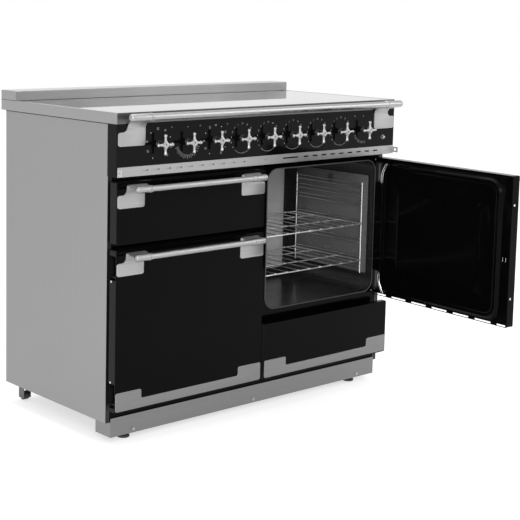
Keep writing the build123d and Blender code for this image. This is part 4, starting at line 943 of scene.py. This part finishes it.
EDGE_SCREW_INSET = 84.0
EDGE_SCREW_Y = 19.0
SCREW_DOME = ((0.0, 3.4), (1.2, 3.3), (2.0, 2.4), (2.4, 0.0))
LATCH = (19.0, 23.0)
for door in ("left_door", "right_door"):
    x0, x1 = DOOR_X[door]
    z0, z1 = DOOR_Z[door]
    screws = Piece(door + "_edge_screws", DOOR_TURN[door])
    for z in (z0 + EDGE_SCREW_INSET, z1 - EDGE_SCREW_INSET):
        screws.turned((x0, EDGE_SCREW_Y, z), (-1, 0, 0), SCREW_DOME, 20)
    latch_x = x1 - LATCH[0] if door == "left_door" else x0 + LATCH[0]
    latch_z = (z0 + z1) / 2 - LATCH[1]
    for x in (latch_x - 5.5, latch_x + 5.5):
        screws.tube([(x, LINER_Y + 0.4, latch_z - 6.0), (x, LINER_Y + 0.4, latch_z + 6.0)], 0.7, 8)
    attach(screws.finish(40.0), slot="screw_steel", body=BODY_OF[door + "_skin"])

# ---------------------------------------------------------------- oven mouth and inside
GASKET_RADIUS = 1.7
GASKET_SEAT = 0.3
gasket_y = box("opening_gaskets")[1].y - GASKET_RADIUS + GASKET_SEAT
cavity_low, cavity_high = box("right_cavity")
left_low, left_high = box("left_cavity")
CAVITY_FLANGE = 15.0
FRAME_Y = 42.0
frame_screws = Piece("frame_screws")
mouth_x = cavity_high.x - CAVITY_FLANGE
for z, up in ((cavity_low.z + CAVITY_FLANGE, -1), (cavity_high.z - CAVITY_FLANGE, 1)):
    for across, rise in ((3.0, 2.0), (10.0, 6.0), (17.0, 1.0), (24.0, 7.0)):
        frame_screws.turned((mouth_x + across, FRAME_Y, z + up * rise), (0, -1, 0),
                            [(0.0, 2.6), (0.8, 2.5), (1.6, 1.8), (1.9, 0.0)], 18)
attach(frame_screws.finish(40.0), slot="screw_steel", body="root")
gaskets = Piece("door_seals")
for mouth_low, mouth_high, corner in ((cavity_low, cavity_high, 38.0),
                                      (left_low, left_high, 20.0)):
    x0, x1 = mouth_low.x + CAVITY_FLANGE, mouth_high.x - CAVITY_FLANGE
    z0, z1 = mouth_low.z + CAVITY_FLANGE, mouth_high.z - CAVITY_FLANGE
    ring = rect_ring((x0 + x1) / 2, (z0 + z1) / 2, (x1 - x0) / 2 + GASKET_RADIUS,
                     (z1 - z0) / 2 + GASKET_RADIUS, corner, gasket_y, 10)
    gaskets.tube(ring, GASKET_RADIUS, 12, looped=True)
attach(gaskets.finish(60.0), "opening_gaskets")

LINER_SETBACK = 16.0
LINER_STANDOFF = 5.5
LINER_CORNER = 5.0
LINER_LEVELS = rounded_levels(1.5, 0.5)
low, high = box("side_liners")
liners = Piece("side_liner_sheets")
for x, side in ((low.x + LINER_STANDOFF, 1), (high.x - LINER_STANDOFF, -1)):
    liners.cushion(rectangle(low.y + LINER_SETBACK, high.y, low.z, high.z, LINER_CORNER),
                   LINER_LEVELS, facing_side(x, side))
attach(liners.finish(28.0), "side_liners", look="liner_enamel")

SHELF_BASE = 361.0
SHELF_PITCH = 29.45
SHELF_LEVELS = (0, 1, 3, 5, 7, 8, 9)
WIRE_PAIR = 12.0
ROD_RADIUS = 2.8
ROD_INSET = 5.5
WIRE_RADIUS = 1.4
WIRE_INSET = 9.5
low, high = box("ladder_supports")
ladders = Piece("shelf_ladders")
wire_ends = Piece("ladder_wire_ends")
WIRE_END = ((0.0, 1.4), (0.6, 2.1), (1.9, 2.3), (3.1, 1.7), (3.6, 0.0))
for wall, side in ((low.x, 1), (high.x, -1)):
    rod_x = wall + side * ROD_INSET
    wire_x = wall + side * WIRE_INSET
    for y in (low.y + 2.0, high.y - 2.0):
        ladders.tube([(rod_x, y, low.z), (rod_x, y, high.z)], ROD_RADIUS)
        for z in (low.z + 4.0, high.z - 4.0):
            ladders.tube([(wall, y, z), (rod_x, y, z)], WIRE_RADIUS, 8)
    for level in SHELF_LEVELS:
        for half in (-WIRE_PAIR / 2, WIRE_PAIR / 2):
            z = SHELF_BASE + SHELF_PITCH * level + half
            ladders.tube([(wire_x, high.y, z), (wire_x, low.y, z)], WIRE_RADIUS, 10)
            wire_ends.turned((wire_x, low.y + 1.5, z), (0, -1, 0), WIRE_END, 14)
attach(ladders.finish(60.0), "ladder_supports")
# The wire ends carry a painted glint in a paler copy of the chrome.
attach(wire_ends.finish(60.0), slot="chrome_wire", body="root", look="wire_ends")

RACK_EDGE = 2.0
RACK_CORNER = 14.0
RACK_WIRE = 1.9
RACK_GAPS = 9
RACK_STAYS = (105.0, 90.0)
BAR_RADIUS = 1.35
BAR_RISE = 2.4
BAR_SETBACK = 1.0
BAR_BEAD = ((0.0, 1.4), (1.5, 2.4), (3.5, 2.6), (5.0, 1.8), (5.6, 0.0))
BEAD_RISE = 2.2
BEAD_SETBACK = 4.0


def wire_rack(name, node):
    """Oven rack: rounded perimeter wire, two cross stays and bars with beaded front ends."""
    low, high = box(node)
    x0, x1 = low.x + RACK_EDGE, high.x - RACK_EDGE
    z = low.z + RACK_WIRE
    outline = rectangle(x0, x1, low.y + RACK_EDGE, high.y - RACK_EDGE, RACK_CORNER)
    piece = Piece(name)
    piece.tube([(point.x, point.y, z) for point in outline], RACK_WIRE, 10, looped=True)
    for k in range(1, RACK_GAPS):
        x = x0 + (x1 - x0) * k / RACK_GAPS
        piece.tube([(x, low.y + BAR_SETBACK, z + BAR_RISE),
                    (x, high.y - BAR_SETBACK, z + BAR_RISE)], BAR_RADIUS, 8)
        piece.turned((x, low.y + BEAD_SETBACK, z + BEAD_RISE), (0, -1, 0), BAR_BEAD, 14)
    for y in (low.y + RACK_STAYS[0], high.y - RACK_STAYS[1]):
        piece.tube([(x0, y, z), (x1, y, z)], RACK_WIRE, 10)
    attach(piece.finish(60.0), node, look="rack_wire")


wire_rack("upper_shelf", "upper_rack")
wire_rack("lower_shelf", "lower_rack")

low, high = box("fan_cover")
COVER_SLOTS = 12
cover = Piece("fan_cover_plate")
cx = (low.x + high.x) / 2
cz = (low.z + high.z) / 2
half_w = (high.x - low.x) / 2
half_h = (high.z - low.z) / 2
cover.loft([rect_ring(cx, cz, half_w - step, half_h - step, 14.0, high.y - rise)
            for step, rise in ((0.0, 0.0), (0.0, 3.4), (0.3, 4.1), (1.0, 4.4), (14.0, 4.5),
                               (17.0, 5.2), (20.0, 5.3), (23.0, 4.8), (26.0, 4.6))])
for k in range(COVER_SLOTS):
    angle = 2 * math.pi * k / COVER_SLOTS
    out = Vector((math.cos(angle), 0.0, math.sin(angle)))
    middle = Vector((cx, high.y - 4.6, cz))
    cover.tube([middle + out * 30, middle + out * 96], 3.4, 10)
for x in (low.x + 15, high.x - 15):
    for z in (low.z + 16, high.z - 16, cz):
        cover.turned((x, high.y - 4.0, z), (0, -1, 0),
                     [(0.0, 5.0), (1.2, 5.0), (2.2, 3.6), (2.5, 0.0)], 20)
attach(cover.finish(30.0), "fan_cover", look="fan_enamel")

low, high = box("oven_lamp")
lamp = Piece("oven_lamp_glass")
lamp.turned((high.x, (low.y + high.y) / 2, (low.z + high.z) / 2), (-1, 0, 0),
            [(0.0, 16.0), (4.0, 16.0), (4.6, 13.5), (7.5, 13.2), (10.2, 11.4), (11.6, 8.0),
             (12.0, 4.0), (12.0, 0.0)], 36)
attach(lamp.finish(30.0), "oven_lamp")

# ---------------------------------------------------------------- base hardware
low, high = box("front_feet")
FOOT_Y = (low.y + high.y) / 2
feet = Piece("levelling_feet")
for x in (low.x + 18.0, high.x - 18.0):
    feet.turned((x, FOOT_Y, 0.0), (0, 0, 1),
                [(0.0, 0.0), (0.0, 16.5), (1.0, 17.8), (4.0, 18.0), (6.5, 16.5), (8.5, 11.0),
                 (9.4, 6.0), (high.z, 5.0)], 32)
    for k in range(14):
        feet.turned((x, FOOT_Y, 11.0 + 3.0 * k), (0, 0, 1),
                    [(0.0, 5.0), (1.0, 5.7), (2.0, 5.0)], 20)
    feet.turned((x, FOOT_Y, high.z - 8.0), (0, 0, 1), [(0.0, 9.0), (8.0, 9.0)], 6)
attach(feet.finish(35.0), "front_feet", look="roller_plastic")

for side in ("left", "right"):
    node = "roller_" + side
    low, high = box(node)
    middle = (low + high) / 2
    wheel = Piece(node + "_wheel")
    wheel.turned((low.x, middle.y, middle.z), (1, 0, 0),
                 [(0.0, 3.2), (0.0, 6.0), (1.2, 6.0), (1.2, 9.5), (0.0, 10.5), (1.0, 12.6),
                  (3.0, 13.0), (17.0, 13.0), (19.0, 12.6), (20.0, 10.5), (18.8, 9.5),
                  (18.8, 6.0), (20.0, 6.0), (20.0, 3.2)], 36)
    attach(wheel.finish(35.0), node)


# ---------------------------------------------------------------- floor
def seen_background(tree):
    """One for rays that see the background: from the camera, or by way of metal or glass."""
    path = tree.nodes.new("ShaderNodeLightPath")
    found = path.outputs["Is Camera Ray"]
    for ray in ("Is Glossy Ray", "Is Transmission Ray"):
        either = tree.nodes.new("ShaderNodeMath")
        either.operation = "MAXIMUM"
        tree.links.new(found, either.inputs[0])
        tree.links.new(path.outputs[ray], either.inputs[1])
        found = either.outputs[0]
    return found


def floor_material():
    """Pale floor: white to the eye, with the soft shadow of the cooker on it."""
    material = bpy.data.materials.new("floor_pale")
    material.use_nodes = True
    tree = material.node_tree
    tree.nodes.clear()
    output = tree.nodes.new("ShaderNodeOutputMaterial")
    place = tree.nodes.new("ShaderNodeTexCoord")
    mottle = tree.nodes.new("ShaderNodeTexNoise")
    mottle.inputs["Scale"].default_value = 3.0
    tree.links.new(place.outputs["Object"], mottle.inputs["Vector"])
    tone = tree.nodes.new("ShaderNodeValToRGB")
    tone.color_ramp.elements[0].color = (0.60, 0.60, 0.60, 1)
    tone.color_ramp.elements[1].color = (0.64, 0.64, 0.64, 1)
    tree.links.new(mottle.outputs["Fac"], tone.inputs["Fac"])
    lit = tree.nodes.new("ShaderNodeBsdfDiffuse")
    tree.links.new(tone.outputs["Color"], lit.inputs["Color"])
    distance = tree.nodes.new("ShaderNodeVectorMath")
    distance.operation = "LENGTH"
    tree.links.new(place.outputs["Object"], distance.inputs[0])
    fade = tree.nodes.new("ShaderNodeMapRange")
    fade.inputs["From Min"].default_value = 1.6
    fade.inputs["From Max"].default_value = 4.0
    fade.inputs["To Min"].default_value = 0.6
    fade.inputs["To Max"].default_value = 0.62
    tree.links.new(distance.outputs["Value"], fade.inputs["Value"])
    glow = tree.nodes.new("ShaderNodeEmission")
    tree.links.new(fade.outputs["Result"], glow.inputs["Strength"])
    add = tree.nodes.new("ShaderNodeAddShader")
    tree.links.new(lit.outputs[0], add.inputs[0])
    tree.links.new(glow.outputs[0], add.inputs[1])
    mix = tree.nodes.new("ShaderNodeMixShader")
    tree.links.new(seen_background(tree), mix.inputs[0])
    tree.links.new(lit.outputs[0], mix.inputs[1])
    tree.links.new(add.outputs[0], mix.inputs[2])
    tree.links.new(mix.outputs[0], output.inputs["Surface"])
    return material


bm = bmesh.new()
bmesh.ops.create_grid(bm, x_segments=8, y_segments=8, size=9.0)
floor = finish_mesh("floor", bm)
floor.location = (0.0, 0.0, -0.0005)
floor.data.materials.append(floor_material())


# ---------------------------------------------------------------- light
LIGHT_AIM = Vector((0.0, 0.1, 0.5))
AMBIENT_STRENGTH = 0.66


def area_lamp(name, place, size, power):
    data = bpy.data.lights.new(name, "AREA")
    data.shape = "RECTANGLE"
    data.size, data.size_y = size
    data.energy = power
    lamp = bpy.data.objects.new(name, data)
    lamp.location = place
    lamp.rotation_euler = (LIGHT_AIM - Vector(place)).to_track_quat("-Z", "Y").to_euler()
    scene.collection.objects.link(lamp)


area_lamp("key_lamp", (-2.9, -3.6, 2.4), (2.4, 2.0), 95.0)
area_lamp("fill_lamp", (3.2, -3.0, 2.2), (2.6, 2.6), 45.0)
area_lamp("top_lamp", (0.0, 0.6, 4.2), (3.0, 3.0), 60.0)

world = bpy.data.worlds.new("studio")
scene.world = world
world.use_nodes = True
tree = world.node_tree
tree.nodes.clear()
world_out = tree.nodes.new("ShaderNodeOutputWorld")
soft = tree.nodes.new("ShaderNodeBackground")
soft.inputs["Strength"].default_value = AMBIENT_STRENGTH
white = tree.nodes.new("ShaderNodeBackground")
for background in (soft, white):
    background.inputs["Color"].default_value = (1, 1, 1, 1)
mix = tree.nodes.new("ShaderNodeMixShader")
tree.links.new(seen_background(tree), mix.inputs[0])
tree.links.new(soft.outputs[0], mix.inputs[1])
tree.links.new(white.outputs[0], mix.inputs[2])
tree.links.new(mix.outputs[0], world_out.inputs["Surface"])

# ---------------------------------------------------------------- camera
FRAME_PIXELS = 520.0
FOCAL_PIXELS = 1284.9
PRINCIPAL = (166.7, 161.8)
CAMERA_PLACE = Vector((-2.558, -2.645, 1.178))
CAMERA_YAW = math.radians(39.52)
CAMERA_PITCH = math.radians(6.84)
CAMERA_ROLL = math.radians(0.89)

forward = Vector((math.sin(CAMERA_YAW) * math.cos(CAMERA_PITCH),
                  math.cos(CAMERA_YAW) * math.cos(CAMERA_PITCH),
                  -math.sin(CAMERA_PITCH)))
level = Vector((math.cos(CAMERA_YAW), -math.sin(CAMERA_YAW), 0.0))
upright = level.cross(forward)
right = math.cos(CAMERA_ROLL) * level + math.sin(CAMERA_ROLL) * upright
up = math.cos(CAMERA_ROLL) * upright - math.sin(CAMERA_ROLL) * level
data = bpy.data.cameras.new("view")
camera = bpy.data.objects.new("view", data)
scene.collection.objects.link(camera)
data.sensor_width = 36.0
data.lens = data.sensor_width * FOCAL_PIXELS / FRAME_PIXELS
data.shift_x = 0.5 - PRINCIPAL[0] / FRAME_PIXELS
data.shift_y = PRINCIPAL[1] / FRAME_PIXELS - 0.5
data.clip_start = 0.05
data.clip_end = 60.0
camera.matrix_world = Matrix((
    (right.x, up.x, -forward.x, CAMERA_PLACE.x),
    (right.y, up.y, -forward.y, CAMERA_PLACE.y),
    (right.z, up.z, -forward.z, CAMERA_PLACE.z),
    (0.0, 0.0, 0.0, 1.0),
))
scene.camera = camera
scene.view_settings.view_transform = "Standard"
